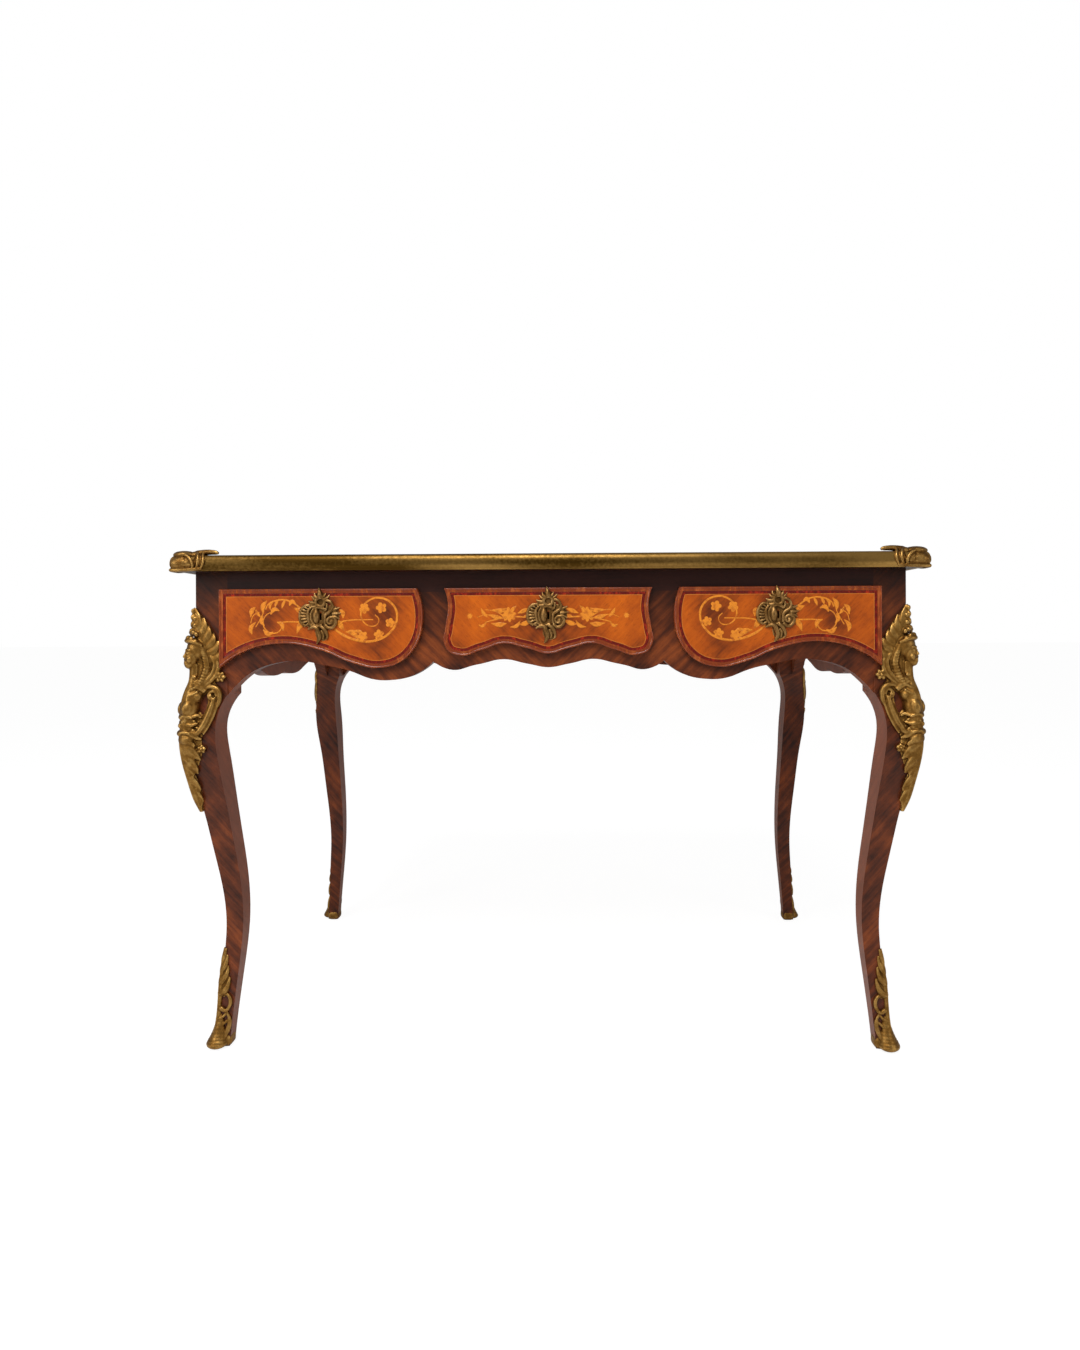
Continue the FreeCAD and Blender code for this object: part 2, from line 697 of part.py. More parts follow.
def moulded_front(name, edges, face_only=False):
    """A moulded front: an outline with a splayed lip and, but for a plain one, a sunk field."""
    back = front_face - s.front_gap
    face = back - s.front_overlay
    body = prism(name, "front", edges, face, back)
    rim = [
        f"Edge{number}" for number, edge in enumerate(body.Shape.Edges, start=1)
        if edge.BoundBox.YMax < float(face) + float(s.front_gap)
    ]
    pad = body.Tip
    lip = body.newObject("PartDesign::Chamfer", f"{name}_lip")
    lip.Base = (pad, rim)
    bind(lip, "Size", s.front_splay)
    doc.recompute()
    body.Tip = lip
    if not face_only:
        pocket(body, f"{name}_field", "front", field_edges(edges), face,
               face + s.field_sink)
    return body


def keyhole(name, middle, near, far):
    """A cutter for the keyhole: an upright slot with cut corners."""
    half = s.keyhole_width / 2
    reach = s.keyhole_length / 2
    corners = [
        (middle + half * across, keyhole_height + reach * up) for across, up in KEYHOLE_SHARES
    ]
    return prism(name, "front", outline(corners[0], ("line", *corners[1:])), near, far)


def lock_box(name, middle, grow):
    top = opening_top - s.drawer_gap
    back = front_face - s.front_gap + s.front_board
    half = s.lock_length / 2 + grow
    return block(name, (middle - half, middle + half), (back - s.lock_thickness - grow, back),
                 (top - s.lock_height - grow, top))


def drawer(side, edges, left, right, middle):
    """One drawer with its box, lock and escutcheon, between two openings' edges."""
    plane = front_face - s.front_gap
    back = plane + s.front_board
    low = opening_bottom + s.drawer_lift
    top = opening_top - s.drawer_gap
    left = left + s.drawer_gap
    right = right - s.drawer_gap
    bottom_low = low + s.bottom_rise
    bottom_top = bottom_low + s.drawer_bottom
    rear = back + s.drawer_length
    side_top = top - s.side_step
    name = f"drawer_{side}"

    board = block(f"{name}_board", (left, right), (plane, back), (low, top))
    whole = fuse(f"{name}_front_whole", moulded_front(f"{name}_moulded", edges), board)
    groove = block(f"{name}_groove", (left + s.drawer_side, right - s.drawer_side),
                   (back - s.groove_depth - s.fit_gap, back + s.overrun),
                   (bottom_low - s.fit_gap, bottom_top + s.fit_gap))
    front = cut(
        f"{name}_front_cut", whole, groove, lock_box(f"{name}_lock_seat", middle, s.fit_gap),
        keyhole(f"{name}_keyhole", middle, plane - s.front_overlay - s.overrun, back),
    )
    keep(front, f"drawer_front_{side}")

    walls = []
    for hand, near, far in (("a", left, left + s.drawer_side), ("b", right - s.drawer_side, right)):
        walls.append(block(f"{name}_wall_{hand}", (near, far), (back, rear), (low, side_top)))
    slit = block(f"{name}_slit",
                 (left + s.drawer_side - s.groove_depth - s.fit_gap,
                  right - s.drawer_side + s.groove_depth + s.fit_gap),
                 (back - s.overrun, rear + s.overrun),
                 (bottom_low - s.fit_gap, bottom_top + s.fit_gap))
    walls_cut = [cut(f"{wall.Name}_cut", wall, slit) for wall in walls]
    keep(group(f"{name}_sides_group", *walls_cut), f"drawer_sides_{side}")
    keep(block(f"{name}_back_board", (left + s.drawer_side, right - s.drawer_side),
               (rear - s.drawer_side, rear), (bottom_top, side_top - s.back_step)),
         f"drawer_back_{side}")
    keep(block(f"{name}_bottom_board",
               (left + s.drawer_side - s.groove_depth, right - s.drawer_side + s.groove_depth),
               (back, rear), (bottom_low, bottom_top)),
         f"drawer_bottom_{side}")

    channel = bolt_box(f"{name}_channel", middle, s.fit_gap, top - s.bolt_height - s.fit_gap,
                       top + s.overrun)
    keep(cut(f"{name}_lock_case", lock_box(f"{name}_lock_body", middle, as_size(0)), channel),
         f"lock_{side}")
    keep(bolt_box(f"{name}_bolt", middle, as_size(0), top - s.bolt_height, top), f"lock_bolt_{side}")
    keep(escutcheon(f"{name}_escutcheon", middle, front), f"escutcheon_{side}")


def boss_ring(name, middle, seat, half_width, half_height, rise):
    """One outline of the boss, in a plane of its own before the drawer front."""
    wide = s.escutcheon_height * half_width
    tall = s.escutcheon_height * half_height
    clip = wide * BOSS_CLIP_SHARE
    corners = [
        (wide - clip, tall), (wide, tall - clip), (wide, clip - tall), (wide - clip, -tall),
        (clip - wide, -tall), (-wide, clip - tall), (-wide, tall - clip), (clip - wide, tall),
    ]
    ring = doc.addObject("Sketcher::SketchObject", name)
    ring.addGeometry(outline(corners[0], ("line", *corners[1:])), False)
    ring.Placement.Rotation = FreeCAD.Rotation(ACROSS, UPRIGHT, -ALONG, "XYZ")
    for letter, at in zip("xyz", (middle, seat - s.escutcheon_dome * rise, keyhole_height)):
        bind(ring, f"Placement.Base.{letter}", at)
    return ring


def escutcheon(name, middle, carrier):
    """An asymmetrical pierced plate with a boss over the keyhole, fitted over its drawer front."""
    face = front_face - s.front_gap - s.front_overlay
    seat = face + s.field_sink
    runs = [
        (kind, *((middle + s.escutcheon_height * across, keyhole_height + s.escutcheon_height * up)
                 for across, up in shares))
        for kind, *shares in ESCUTCHEON_SHARES
    ]
    plate = prism(f"{name}_plate", "front", outline(runs[-1][-1], *runs), face - s.escutcheon_plate, seat)
    boss = rings(f"{name}_boss", [
        boss_ring(f"{name}_boss_{number}", middle, seat, *shares)
        for number, shares in enumerate(BOSS_SHARES, start=1)
    ])
    clear = s.escutcheon_dome + s.overrun
    hole = disc(f"{name}_hole", (middle, seat - clear,
                                 keyhole_height + s.escutcheon_height * PIERCING_SHARE),
                s.escutcheon_hole / 2, clear + s.overrun, ALONG)
    slot = keyhole(f"{name}_slot", middle, seat - clear, seat + s.overrun)
    whole = fuse(f"{name}_whole", plate, boss)
    return cut(f"{name}_cut", whole, hole, slot, carrier)


def drawers():
    drawer("left", side_front_edges(-1), -leg_inner_x, -side_opening_inner, -side_lock_place)
    drawer("centre", centre_front_edges(), -s.stile_inner, s.stile_inner, as_size(0))
    drawer("right", side_front_edges(1), side_opening_inner, leg_inner_x, side_lock_place)


def rear_fronts():
    """False fronts on the rear, with escutcheons like the front ones."""
    choices = (
        ("left", side_front_edges(-1), -side_lock_place),
        ("centre", centre_front_edges(), as_size(0)),
        ("right", side_front_edges(1), side_lock_place),
    )
    mounts = []
    for side, edges, middle in choices:
        moulded = moulded_front(f"rear_{side}_moulded", edges, face_only=True)
        keep(mirror(f"rear_{side}_turned", moulded, ALONG), f"rear_false_front_{side}")
        plate = escutcheon(f"rear_{side}_escutcheon", middle, moulded)
        mounts.append(mirror(f"rear_{side}_escutcheon_turned", plate, ALONG))
    keep(group("rear_mounts", *mounts), "rear_escutcheons")


def bearer(name, inner, outer, low, high, guide):
    """A runner or kicker between the front frame and the rear panel, with its guide strip."""
    parts = [block(f"{name}_strip", (inner, outer), (front_back, -front_back), (low, high))]
    if guide is not None:
        parts.append(block(f"{name}_guide", guide[0], guide[1], (low, guide[2])))
    return fuse(name, *parts) if len(parts) > 1 else parts[0]


def runners_and_kickers():
    run_low = opening_bottom - s.runner_thickness
    guide_top = opening_bottom + s.guide_height
    kick_high = opening_top + s.runner_thickness
    full = (front_back, -front_back)
    short = (-leg_inner_y, leg_inner_y)
    reach = s.runner_bearing
    bays = (
        ("outer", leg_inner_x - reach, leg_inner_x, (leg_inner_x, panel_face), short),
        ("inner", divider_far, side_opening_inner + reach, (divider_far, side_opening_inner), full),
        ("middle", s.stile_inner - reach, divider_near, (s.stile_inner, divider_near), full),
    )
    runners = []
    kickers = []
    for bay, near, far, guide, span in bays:
        strip = bearer(f"runner_{bay}", near, far, run_low, opening_bottom, (guide, span, guide_top))
        runners += [strip, mirror(f"runner_{bay}_left", strip, ACROSS)]
        strip = bearer(f"kicker_{bay}", near, far, opening_top, kick_high, (guide, span, kick_high))
        kickers += [strip, mirror(f"kicker_{bay}_left", strip, ACROSS)]
    keep(group("runners", *runners), "drawer_runners")
    keep(group("kickers", *kickers), "drawer_kickers")


def block_places():
    """Where the glue blocks sit under the top: two beside each side panel, one per side drawer."""
    reach = s.block_width
    long = s.block_length / 2
    places = []
    for side in (-1, 1):
        for end in (-1, 1):
            middle = s.block_place * end
            near = panel_face * side
            low = near - reach if side > 0 else near
            places.append(((low, low + reach), (middle - long, middle + long)))
            middle = side_lock_place * side
            edge = front_back if end < 0 else -front_back - reach
            places.append(((middle - long, middle + long), (edge, edge + reach)))
    return places


def under_top():
    blocks = []
    screws = []
    holes = []
    low = top_under - s.block_width
    for number, (x, y) in enumerate(block_places(), start=1):
        middle = ((x[0] + x[1]) / 2, (y[0] + y[1]) / 2)
        hole = disc(f"screw_hole_{number}", (*middle, low), s.screw_diameter / 2 + s.fit_gap,
                   s.block_width + s.screw_bite + s.fit_gap)
        sink = disc(f"screw_sink_{number}", (*middle, low - s.overrun), s.screw_head / 2 + s.fit_gap,
                   s.overrun + s.screw_head_height + s.fit_gap)
        shank = disc(f"screw_shank_{number}", (*middle, low), s.screw_diameter / 2,
                    s.block_width + s.screw_bite)
        head = disc(f"screw_head_{number}", (*middle, low), s.screw_head / 2, s.screw_head_height)
        wood = block(f"block_{number}_wood", x, y, (low, top_under))
        blocks.append(cut(f"block_{number}", wood, hole, sink))
        screws.append(fuse(f"screw_{number}", shank, head))
        holes.append(hole)
    keep(group("blocks", *blocks), "corner_blocks")
    keep(group("screws", *screws), "top_screws")
    return holes


def top(holes):
    panel_x = s.top_length / 2 - s.moulding_width - s.fit_gap
    panel_y = s.top_depth / 2 - s.moulding_width - s.fit_gap
    leather_x = panel_x - s.border_width
    leather_y = panel_y - s.border_width
    wood = block("top_wood", (-panel_x, panel_x), (-panel_y, panel_y), (top_under, s.table_height))
    sink = block("leather_sink", (-leather_x - s.fit_gap, leather_x + s.fit_gap),
                 (-leather_y - s.fit_gap, leather_y + s.fit_gap),
                 (s.table_height - s.leather_thickness, s.table_height + s.overrun))
    keep(cut("top_cut", wood, sink, *holes), "top_panel")
    keep(block("leather", (-leather_x, leather_x), (-leather_y, leather_y),
               (s.table_height - s.leather_thickness, s.table_height)), "leather_inset")


def moulding(name, face, length, depth):
    """One brass edge moulding with mitred ends, on the side of the top at depth from the middle."""
    inner = depth - s.moulding_width
    places = [
        (-(inner + s.moulding_width * out), top_under + s.top_thickness * up)
        for out, up in MOULDING_SHARES
    ]
    section = outline(
        (-inner, top_under), ("line", places[0], places[1]), ("curve", *places[2:]),
        ("line", (-inner, s.table_height)),
    )
    half = length / 2
    if face == "side":
        bar = prism(f"{name}_bar", "side", section, -half, half)
        plan = outline((-half, -depth), ("line", (half, -depth), (half - s.moulding_width, -inner),
                                         (-half + s.moulding_width, -inner)))
    else:
        bar = prism(f"{name}_bar", "front", section, -half, half)
        plan = outline((-depth, -half), ("line", (-depth, half), (-inner, half - s.moulding_width),
                                         (-inner, -half + s.moulding_width)))
    mitre = prism(f"{name}_mitre", "plan", plan, top_under, s.table_height)
    return common(name, bar, mitre)


def edge_mouldings():
    front = moulding("edge_front", "side", s.top_length, s.top_depth / 2)
    left = moulding("edge_left", "front", s.top_depth, s.top_length / 2)
    keep(front, "edge_moulding_front")
    keep(mirror("edge_rear", front, ALONG), "edge_moulding_rear")
    keep(left, "edge_moulding_left")
    keep(mirror("edge_right", left, ACROSS), "edge_moulding_right")


def corner_clasps():
    """A scalloped shell over the corner with fingers on the top, hollowed to fit the moulding."""
    corner = s.top_length / 2
    edge = -s.top_depth / 2
    front = [
        (corner - s.clasp_reach * inward, edge - s.clasp_overhang * out) for inward, out in CLASP_SHARES
    ]
    side = [
        (corner + s.clasp_overhang * out, edge + s.clasp_reach * inward)
        for inward, out in reversed(CLASP_SHARES)
    ]
    fingers = [
        (corner - s.clasp_reach * near, edge + s.clasp_reach * far) for far, near in CLASP_FINGER_SHARES
    ]
    turned = [
        (corner - s.clasp_reach * far, edge + s.clasp_reach * near)
        for far, near in reversed(CLASP_FINGER_SHARES[:-1])
    ]
    plan = outline(front[0], ("line", *front[1:], *side, *fingers, *turned))
    high = s.table_height + s.clasp_rise
    shell = prism("clasp_shell", "plan", plan, top_under - s.clasp_skirt, high)
    rim = [
        f"Edge{number}" for number, edge in enumerate(shell.Shape.Edges, start=1)
        if edge.BoundBox.ZMin > float(high - s.mount_gap)
    ]
    pad = shell.Tip
    splay = shell.newObject("PartDesign::Chamfer", "clasp_splay")
    splay.Base = (pad, rim)
    bind(splay, "Size", s.clasp_splay)
    doc.recompute()
    shell.Tip = splay
    gap = s.mount_gap
    slab = block("clasp_slab", (as_size(0), corner + gap), (edge - gap, as_size(0)),
                 (as_size(0), s.table_height + gap))
    four_corners(cut("clasp", shell, slab), "corner_clasp")


DIAGONAL = Vector(1, -1, 0)
SIDEWAYS = Vector(1, 1, 0)
UPRIGHT = Vector(0, 0, 1)


def diagonal_prism(name, edges, inset, length):
    """An outline that faces the front right corner, extruded outward through it."""
    sketch = doc.addObject("Sketcher::SketchObject", f"{name}_outline")
    sketch.addGeometry(edges, False)
    sketch.Placement.Rotation = FreeCAD.Rotation(SIDEWAYS, UPRIGHT, DIAGONAL, "ZYX")
    bind(sketch, "Placement.Base.x", half_length - inset)
    bind(sketch, "Placement.Base.y", inset - half_depth)
    item = doc.addObject("Part::Extrusion", name)
    item.Base = sketch
    item.DirMode = "Normal"
    item.Solid = True
    bind(item, "LengthFwd", length)
    return item


def on_corner(out, height):
    """A place on the front right diagonal, a distance out from the frieze's corner."""
    return half_length + out, -half_depth - out, height


def corner_ring(name, height, front, width, depth, clip):
    """An outline around the front right diagonal: clipped at its front, square behind."""
    half = width / 2
    cut_off = width * clip
    corners = [
        (as_size(0), half - cut_off), (as_size(0), cut_off - half), (-cut_off, -half),
        (-depth, -half), (-depth, half), (-cut_off, half),
    ]
    ring = doc.addObject("Sketcher::SketchObject", name)
    ring.addGeometry(outline(corners[0], ("line", *corners[1:])), False)
    ring.Placement.Rotation = FreeCAD.Rotation(DIAGONAL, SIDEWAYS, UPRIGHT, "ZXY")
    for letter, at in zip("xyz", on_corner(front, height)):
        bind(ring, f"Placement.Base.{letter}", at)
    return ring


def chute_places(shares):
    return [
        (s.chute_half_width * across, chute_top - s.chute_length * down) for across, down in shares
    ]


def bust():
    """The figure of the knee mount: plume, head, neck, shoulders, waist and the leaf that tapers down."""
    sections = []
    for number, (down, proud, width) in enumerate(BUST_SHARES, start=1):
        height = chute_top - s.chute_length * down
        front = leg_reach(height) + s.bust_proud * proud
        sections.append(corner_ring(f"bust_ring_{number}", height, front, s.bust_width * width,
                                    s.bust_depth, BUST_CLIP_SHARE))
    return rings("bust", sections)


def chutes():
    """Knee mounts: a leaf round the corner with its openings, a figure, and two pairs of rosettes."""
    skin = leg_blank("chute_skin", s.chute_relief, as_size(0), s.leg_lift)
    places = chute_places(CHUTE_SHARES)
    edges = outline(places[0], ("line", *places[1:], *left_half(places)[1:-1]))
    leaf = diagonal_prism("chute_leaf", edges, s.chute_bed, s.leg_stock)
    plate = common("chute_plate", skin, leaf)
    opening = chute_places(CHUTE_OPENING_SHARES)
    openings = [
        diagonal_prism(f"chute_opening_{side}", outline(opening[0], ("line", *opening[1:]), hand=hand),
                       s.chute_bed, s.leg_stock)
        for side, hand in (("right", 1), ("left", -1))
    ]
    pierced = cut("chute_pierced", plate, *openings)
    rosettes = []
    for number, (down, along) in enumerate(ROSETTE_SHARES, start=1):
        up = chute_top - s.chute_length * down
        inward = s.chute_half_width * along * math.sqrt(2)
        out = leg_reach(up) + s.rosette_height
        rosettes.append(disc(f"chute_rosette_front_{number}", (half_length - inward, -half_depth - out, up),
                             s.rosette_diameter / 2, s.rosette_height, ALONG))
        rosettes.append(disc(f"chute_rosette_side_{number}", (half_length + out, inward - half_depth, up),
                             s.rosette_diameter / 2, s.rosette_height, -ACROSS))
    whole = fuse("chute_whole", pierced, bust(), *rosettes)
    bed = leg_blank("chute_bed_wood", s.mount_gap, s.mount_gap, s.leg_lift)
    frieze = block("chute_frieze", (as_size(0), half_length + s.mount_gap),
                   (-half_depth - s.mount_gap, as_size(0)), (arch_height - s.leg_stock, top_under))
    four_corners(cut("chute", whole, bed, frieze), "chute")


def toe_scroll():
    """The scroll toe: a roll across the corner, with an eye at each end."""
    out = leg_reach(s.toe_height / 2) + s.toe_reach
    half = s.toe_width / 2
    share = 1 / math.sqrt(2)
    parts = []
    pair = (("roll", half, s.toe_height / 2), ("eyes", half + s.toe_eye, s.toe_height * EYE_SHARE))
    for name, reach, radius in pair:
        start = (half_length + out - reach * share, -half_depth - out - reach * share, s.toe_height / 2)
        parts.append(disc(f"toe_{name}", start, radius, reach * 2, SIDEWAYS))
    return parts


def sabots():
    """Bronze shoes: a closed cup with a scroll toe, and pierced leaves that climb the outer corner."""
    skin = leg_blank("sabot_skin", s.sabot_relief, s.sabot_relief, as_size(0))
    outer_skin = leg_blank("sabot_outer_skin", s.sabot_relief, as_size(0), s.sabot_floor)
    cup_zone = block("sabot_cup_zone", (as_size(0), s.top_length), (-s.top_length, as_size(0)),
                     (as_size(0), s.sabot_cup))
    cup = common("sabot_cup", skin, cup_zone)
    rise = s.sabot_height - s.sabot_cup
    places, slit = (
        [(s.sabot_half_width * across, s.sabot_cup + rise * up) for across, up in shares]
        for shares in (SABOT_LEAF_SHARES, SABOT_SLIT_SHARES)
    )
    root = s.sabot_cup / 2
    edges = outline(
        (-s.sabot_half_width, root), ("line", (s.sabot_half_width, root), places[0]),
        ("line", *places[1:], *left_half(places)[1:-1]),
    )
    inset = s.leg_stock * SABOT_BED_SHARE
    climb = common("sabot_leaf", outer_skin, diagonal_prism("sabot_leaf_zone", edges, inset, s.leg_stock))
    gap = diagonal_prism("sabot_slit", outline(slit[0], ("line", *slit[1:], *left_half(slit)[1:-1])),
                         inset, s.leg_stock)
    whole = fuse("sabot_whole", cup, cut("sabot_open_leaf", climb, gap), *toe_scroll())
    bed = leg_blank("sabot_bed", s.mount_gap, s.mount_gap, s.sabot_floor)
    four_corners(cut("sabot", whole, bed), "sabot")


def check_and_write():
    """See that every object is sound, then write each sub-part to its own file."""
    doc.recompute()
    for item in doc.Objects:
        if "Invalid" in item.State or "Error" in item.State:
            raise RuntimeError(f"{item.Name} failed: {item.State}")
    os.makedirs("parts", exist_ok=True)
    for item in nodes:
        shape = item.Shape
        if shape.isNull() or not shape.isValid() or not shape.Solids:
            raise RuntimeError(f"{item.Label} has no sound shape")
        shape.exportStep(f"parts/{item.Label}.step")
    print(len(nodes), "sub-parts written")


legs()
top_rail()
front_apron()
stiles()
dividers()
side_panels()
rear_panel()
rear_fronts()
runners_and_kickers()
top(under_top())
edge_mouldings()
corner_clasps()
chutes()
sabots()
drawers()
check_and_write()
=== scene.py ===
import math

import bmesh
import bpy
import numpy as np
from bpy.props import FloatProperty, FloatVectorProperty, PointerProperty
from mathutils import Matrix, Vector
from mathutils.bvhtree import BVHTree


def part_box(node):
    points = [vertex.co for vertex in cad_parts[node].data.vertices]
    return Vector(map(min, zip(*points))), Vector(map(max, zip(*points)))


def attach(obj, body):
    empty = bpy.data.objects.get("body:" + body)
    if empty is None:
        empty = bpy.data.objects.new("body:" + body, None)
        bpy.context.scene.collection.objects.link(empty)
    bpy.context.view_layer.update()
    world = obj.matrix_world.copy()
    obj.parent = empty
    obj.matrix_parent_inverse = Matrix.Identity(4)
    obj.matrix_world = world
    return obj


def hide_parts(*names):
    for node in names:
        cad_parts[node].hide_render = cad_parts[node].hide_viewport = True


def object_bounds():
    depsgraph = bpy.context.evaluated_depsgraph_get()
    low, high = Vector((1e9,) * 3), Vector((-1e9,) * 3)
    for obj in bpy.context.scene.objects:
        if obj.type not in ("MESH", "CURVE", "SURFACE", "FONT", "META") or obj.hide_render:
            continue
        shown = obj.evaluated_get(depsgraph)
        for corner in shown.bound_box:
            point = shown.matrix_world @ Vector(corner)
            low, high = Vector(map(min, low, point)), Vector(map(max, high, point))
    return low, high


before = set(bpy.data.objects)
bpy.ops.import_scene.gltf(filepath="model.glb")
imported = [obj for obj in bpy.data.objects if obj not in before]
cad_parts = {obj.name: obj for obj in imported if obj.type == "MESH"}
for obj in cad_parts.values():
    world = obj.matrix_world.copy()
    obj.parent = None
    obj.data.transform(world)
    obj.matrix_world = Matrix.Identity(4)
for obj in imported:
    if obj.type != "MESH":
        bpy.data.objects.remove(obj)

bl_info = {
    "name": "Flat writing table",
    "version": (1, 0, 0),
    "blender": (4, 5, 0),
    "location": "3D View > Sidebar > Table",
    "description": "Veneers, marquetry, gilt bronze and leather for a flat writing table",
    "category": "Add Mesh",
}

MM = 0.001
CAD_BOX = [list(corner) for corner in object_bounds()]
SIDES = ("left", "centre", "right")
CORNERS = {"front_right": (1, 1), "front_left": (-1, 1), "rear_right": (1, -1), "rear_left": (-1, -1)}
LOCK_PLACES = {"left": -362, "centre": 0, "right": 362}
KEYHOLE_HEIGHT = 701
TOUCH = 1e-5


def linear(code):
    """An sRGB hex value as linear red, green, blue and full alpha."""
    shares = [int(code[at:at + 2], 16) / 255 for at in (0, 2, 4)]
    return tuple(c / 12.92 if c <= 0.04045 else ((c + 0.055) / 1.055) ** 2.4 for c in shares) + (1.0,)


def colour(name, code, text):
    return FloatVectorProperty(
        name=name, description=text, subtype="COLOR", size=4, min=0, max=1, default=linear(code)
    )


def length(name, size, text):
    return FloatProperty(name=name, description=text, subtype="DISTANCE", unit="LENGTH", default=size * MM)


class TableColours(bpy.types.PropertyGroup):
    kingwood_light: colour("Kingwood, light", "84401a", "Light grain of the carcass veneer")
    kingwood_mid: colour("Kingwood, middle", "56260f", "Main colour of the carcass veneer")
    kingwood_dark: colour("Kingwood, dark", "1f0a04", "Dark streaks of the carcass veneer")
    # Painted shade: the rail colour stands for the shadow that the top's overhang casts on the rail.
    rail: colour("Rail", "2c0f07", "Darkened veneer under the edge of the top")
    leg_inner: colour("Inner legs", "8a5038", "Faded veneer on the inner faces of the legs")
    field_light: colour("Field, light", "b9580d", "Light parts of the drawer fields")
    field_mid: colour("Field, middle", "9c4508", "Main colour of the drawer fields")
    field_dark: colour("Field, dark", "5e2606", "Stained parts of the drawer fields")
    band_light: colour("Crossbanding, light", "a52a0c", "Light flecks of the crossbanding")
    band_dark: colour("Crossbanding, dark", "5a0f05", "Main colour of the crossbanding")
    lip: colour("Lip", "76300f", "Moulded lip of the drawer fronts")
    lip_light: colour("Lip, rubbed", "a65626", "Rubbed crest of the lip")
    string: colour("Stringing", "b8702c", "Thin line between banding and field")
    inlay_light: colour("Inlay, light", "cf7c22", "Light parts of the flowers and leaves")
    inlay_dark: colour("Inlay, dark", "a85816", "Sand-scorched parts of the inlay")
    bronze_light: colour("Bronze, light", "b58e50", "Rubbed crests of the gilt bronze")
    bronze_mid: colour("Bronze, middle", "7a5626", "Main colour of the gilt bronze")
    bronze_dark: colour("Bronze, dark", "2e1c0b", "Dirt in the hollows of the gilt bronze")
    plate_light: colour("Plates, light", "ab8552", "Rubbed crests of the keyhole plates")
    plate_mid: colour("Plates, middle", "6c4c26", "Main colour of the keyhole plates")
    plate_dark: colour("Plates, dark", "1e1008", "Dirt in the hollows of the keyhole plates")
    clasp_mid: colour("Clasps, middle", "6c4a20", "Main colour of the clasps, which hands have darkened")
    brass_light: colour("Brass, light", "a17c42", "Rubbed stretches of the edge moulding")
    brass_dark: colour("Brass, dark", "47310f", "Tarnished stretches of the edge moulding")
    leather: colour("Leather", "3c1410", "Writing surface")
    leather_worn: colour("Leather, worn", "5e271c", "Rubbed parts of the writing surface")
    gilding: colour("Gilding", "c49a46", "Tooled lines on the leather")
    oak_light: colour("Oak, light", "b98a58", "Light grain of the drawer linings")
    oak_dark: colour("Oak, dark", "7a5230", "Dark grain of the drawer linings")
    steel: colour("Steel", "6d6862", "Bolts and screws")
    backdrop: colour("Floor", "f7f7f6", "Floor and background")


class TableSizes(bpy.types.PropertyGroup):
    lip_splay: length("Lip splay", 3.5, "Slanting edge of the drawer front under its rounded lip")
    lip_width: length("Lip width", 3.9, "Rounded lip of the drawer fronts")
    band_width: length("Crossbanding width", 7.8, "Banding inside the lip")
    string_width: length("Stringing width", 0.8, "Light line inside the banding")
    keyhole_width: length("Keyhole width", 4, "Slot in front and escutcheon")
    keyhole_length: length("Keyhole length", 12, "Slot in front and escutcheon")
    inlay_rise: length("Inlay rise", 0.12, "Inlay over the field")
    bronze_grain: length("Bronze fineness", 1.05, "Smallest form in the knee mounts")
    tooling_inset: length("Tooling inset", 16, "Edge of the leather to its outer gilt line")


def palette():
    return bpy.context.scene.table_colours


def sizes():
    return bpy.context.scene.table_sizes


# Materials

def plug(tree, node, feeds):
    """Give each input of a node its value, or the socket that feeds it."""
    for key, feed in feeds.items():
        if isinstance(feed, bpy.types.NodeSocket):
            tree.links.new(feed, node.inputs[key])
        else:
            node.inputs[key].default_value = feed


def add(tree, kind, feeds=None, stops=None, **settings):
    """Add one node with its settings, its ramp stops, and the value or socket that feeds each input."""
    node = tree.nodes.new("ShaderNode" + kind)
    for name, value in settings.items():
        setattr(node, name, value)
    if stops:
        elements = node.color_ramp.elements
        while len(elements) < len(stops):
            elements.new(1.0)
        for element, (place, tone) in zip(elements, stops):
            element.position = place
            element.color = tone if hasattr(tone, "__len__") else (tone, tone, tone, 1.0)
    plug(tree, node, feeds or {})
    return node


def own_place(tree):
    """Where a point lies on its object, in metres."""
    return add(tree, "TexCoord").outputs["Object"]


def noise(tree, place, scale=1.0, detail=2.0, **more):
    """Soft noise about 0.5, at so many turns per unit of its place."""
    return add(tree, "TexNoise", {"Vector": place, "Scale": scale, "Detail": detail, **more}).outputs["Fac"]


def times(tree, value, factor, plus=None):
    """A value times a factor, with a further value added where there is one."""
    if plus is None:
        return add(tree, "Math", {0: value, 1: factor}, operation="MULTIPLY").outputs[0]
    return add(tree, "Math", {0: value, 1: factor, 2: plus}, operation="MULTIPLY_ADD").outputs[0]


def ramp(tree, value, *stops):
    """A colour from a value, through stops of (place, tone)."""
    return add(tree, "ValToRGB", {"Fac": value}, stops=stops).outputs["Color"]


def span(tree, value, low, high, start=0.0, end=1.0):
    """A value between low and high, carried over to start and end."""
    return add(tree, "MapRange", {"Value": value, "From Min": low, "From Max": high, "To Min": start,
                                  "To Max": end}).outputs["Result"]


def blend(tree, kind, share, one, two):
    """Two colours mixed, or multiplied."""
    return add(tree, "Mix", {"Factor": share, 6: one, 7: two}, data_type="RGBA", blend_type=kind).outputs[2]


def bump(tree, height, strength, depth):
    """A normal that follows a fine height of so many metres."""
    return add(tree, "Bump", {"Height": height, "Strength": strength, "Distance": depth}).outputs["Normal"]


def begin(name):
    """A new material, its node tree and its shader."""
    material = bpy.data.materials.new(name)
    material.use_nodes = True
    return material, material.node_tree, material.node_tree.nodes["Principled BSDF"]


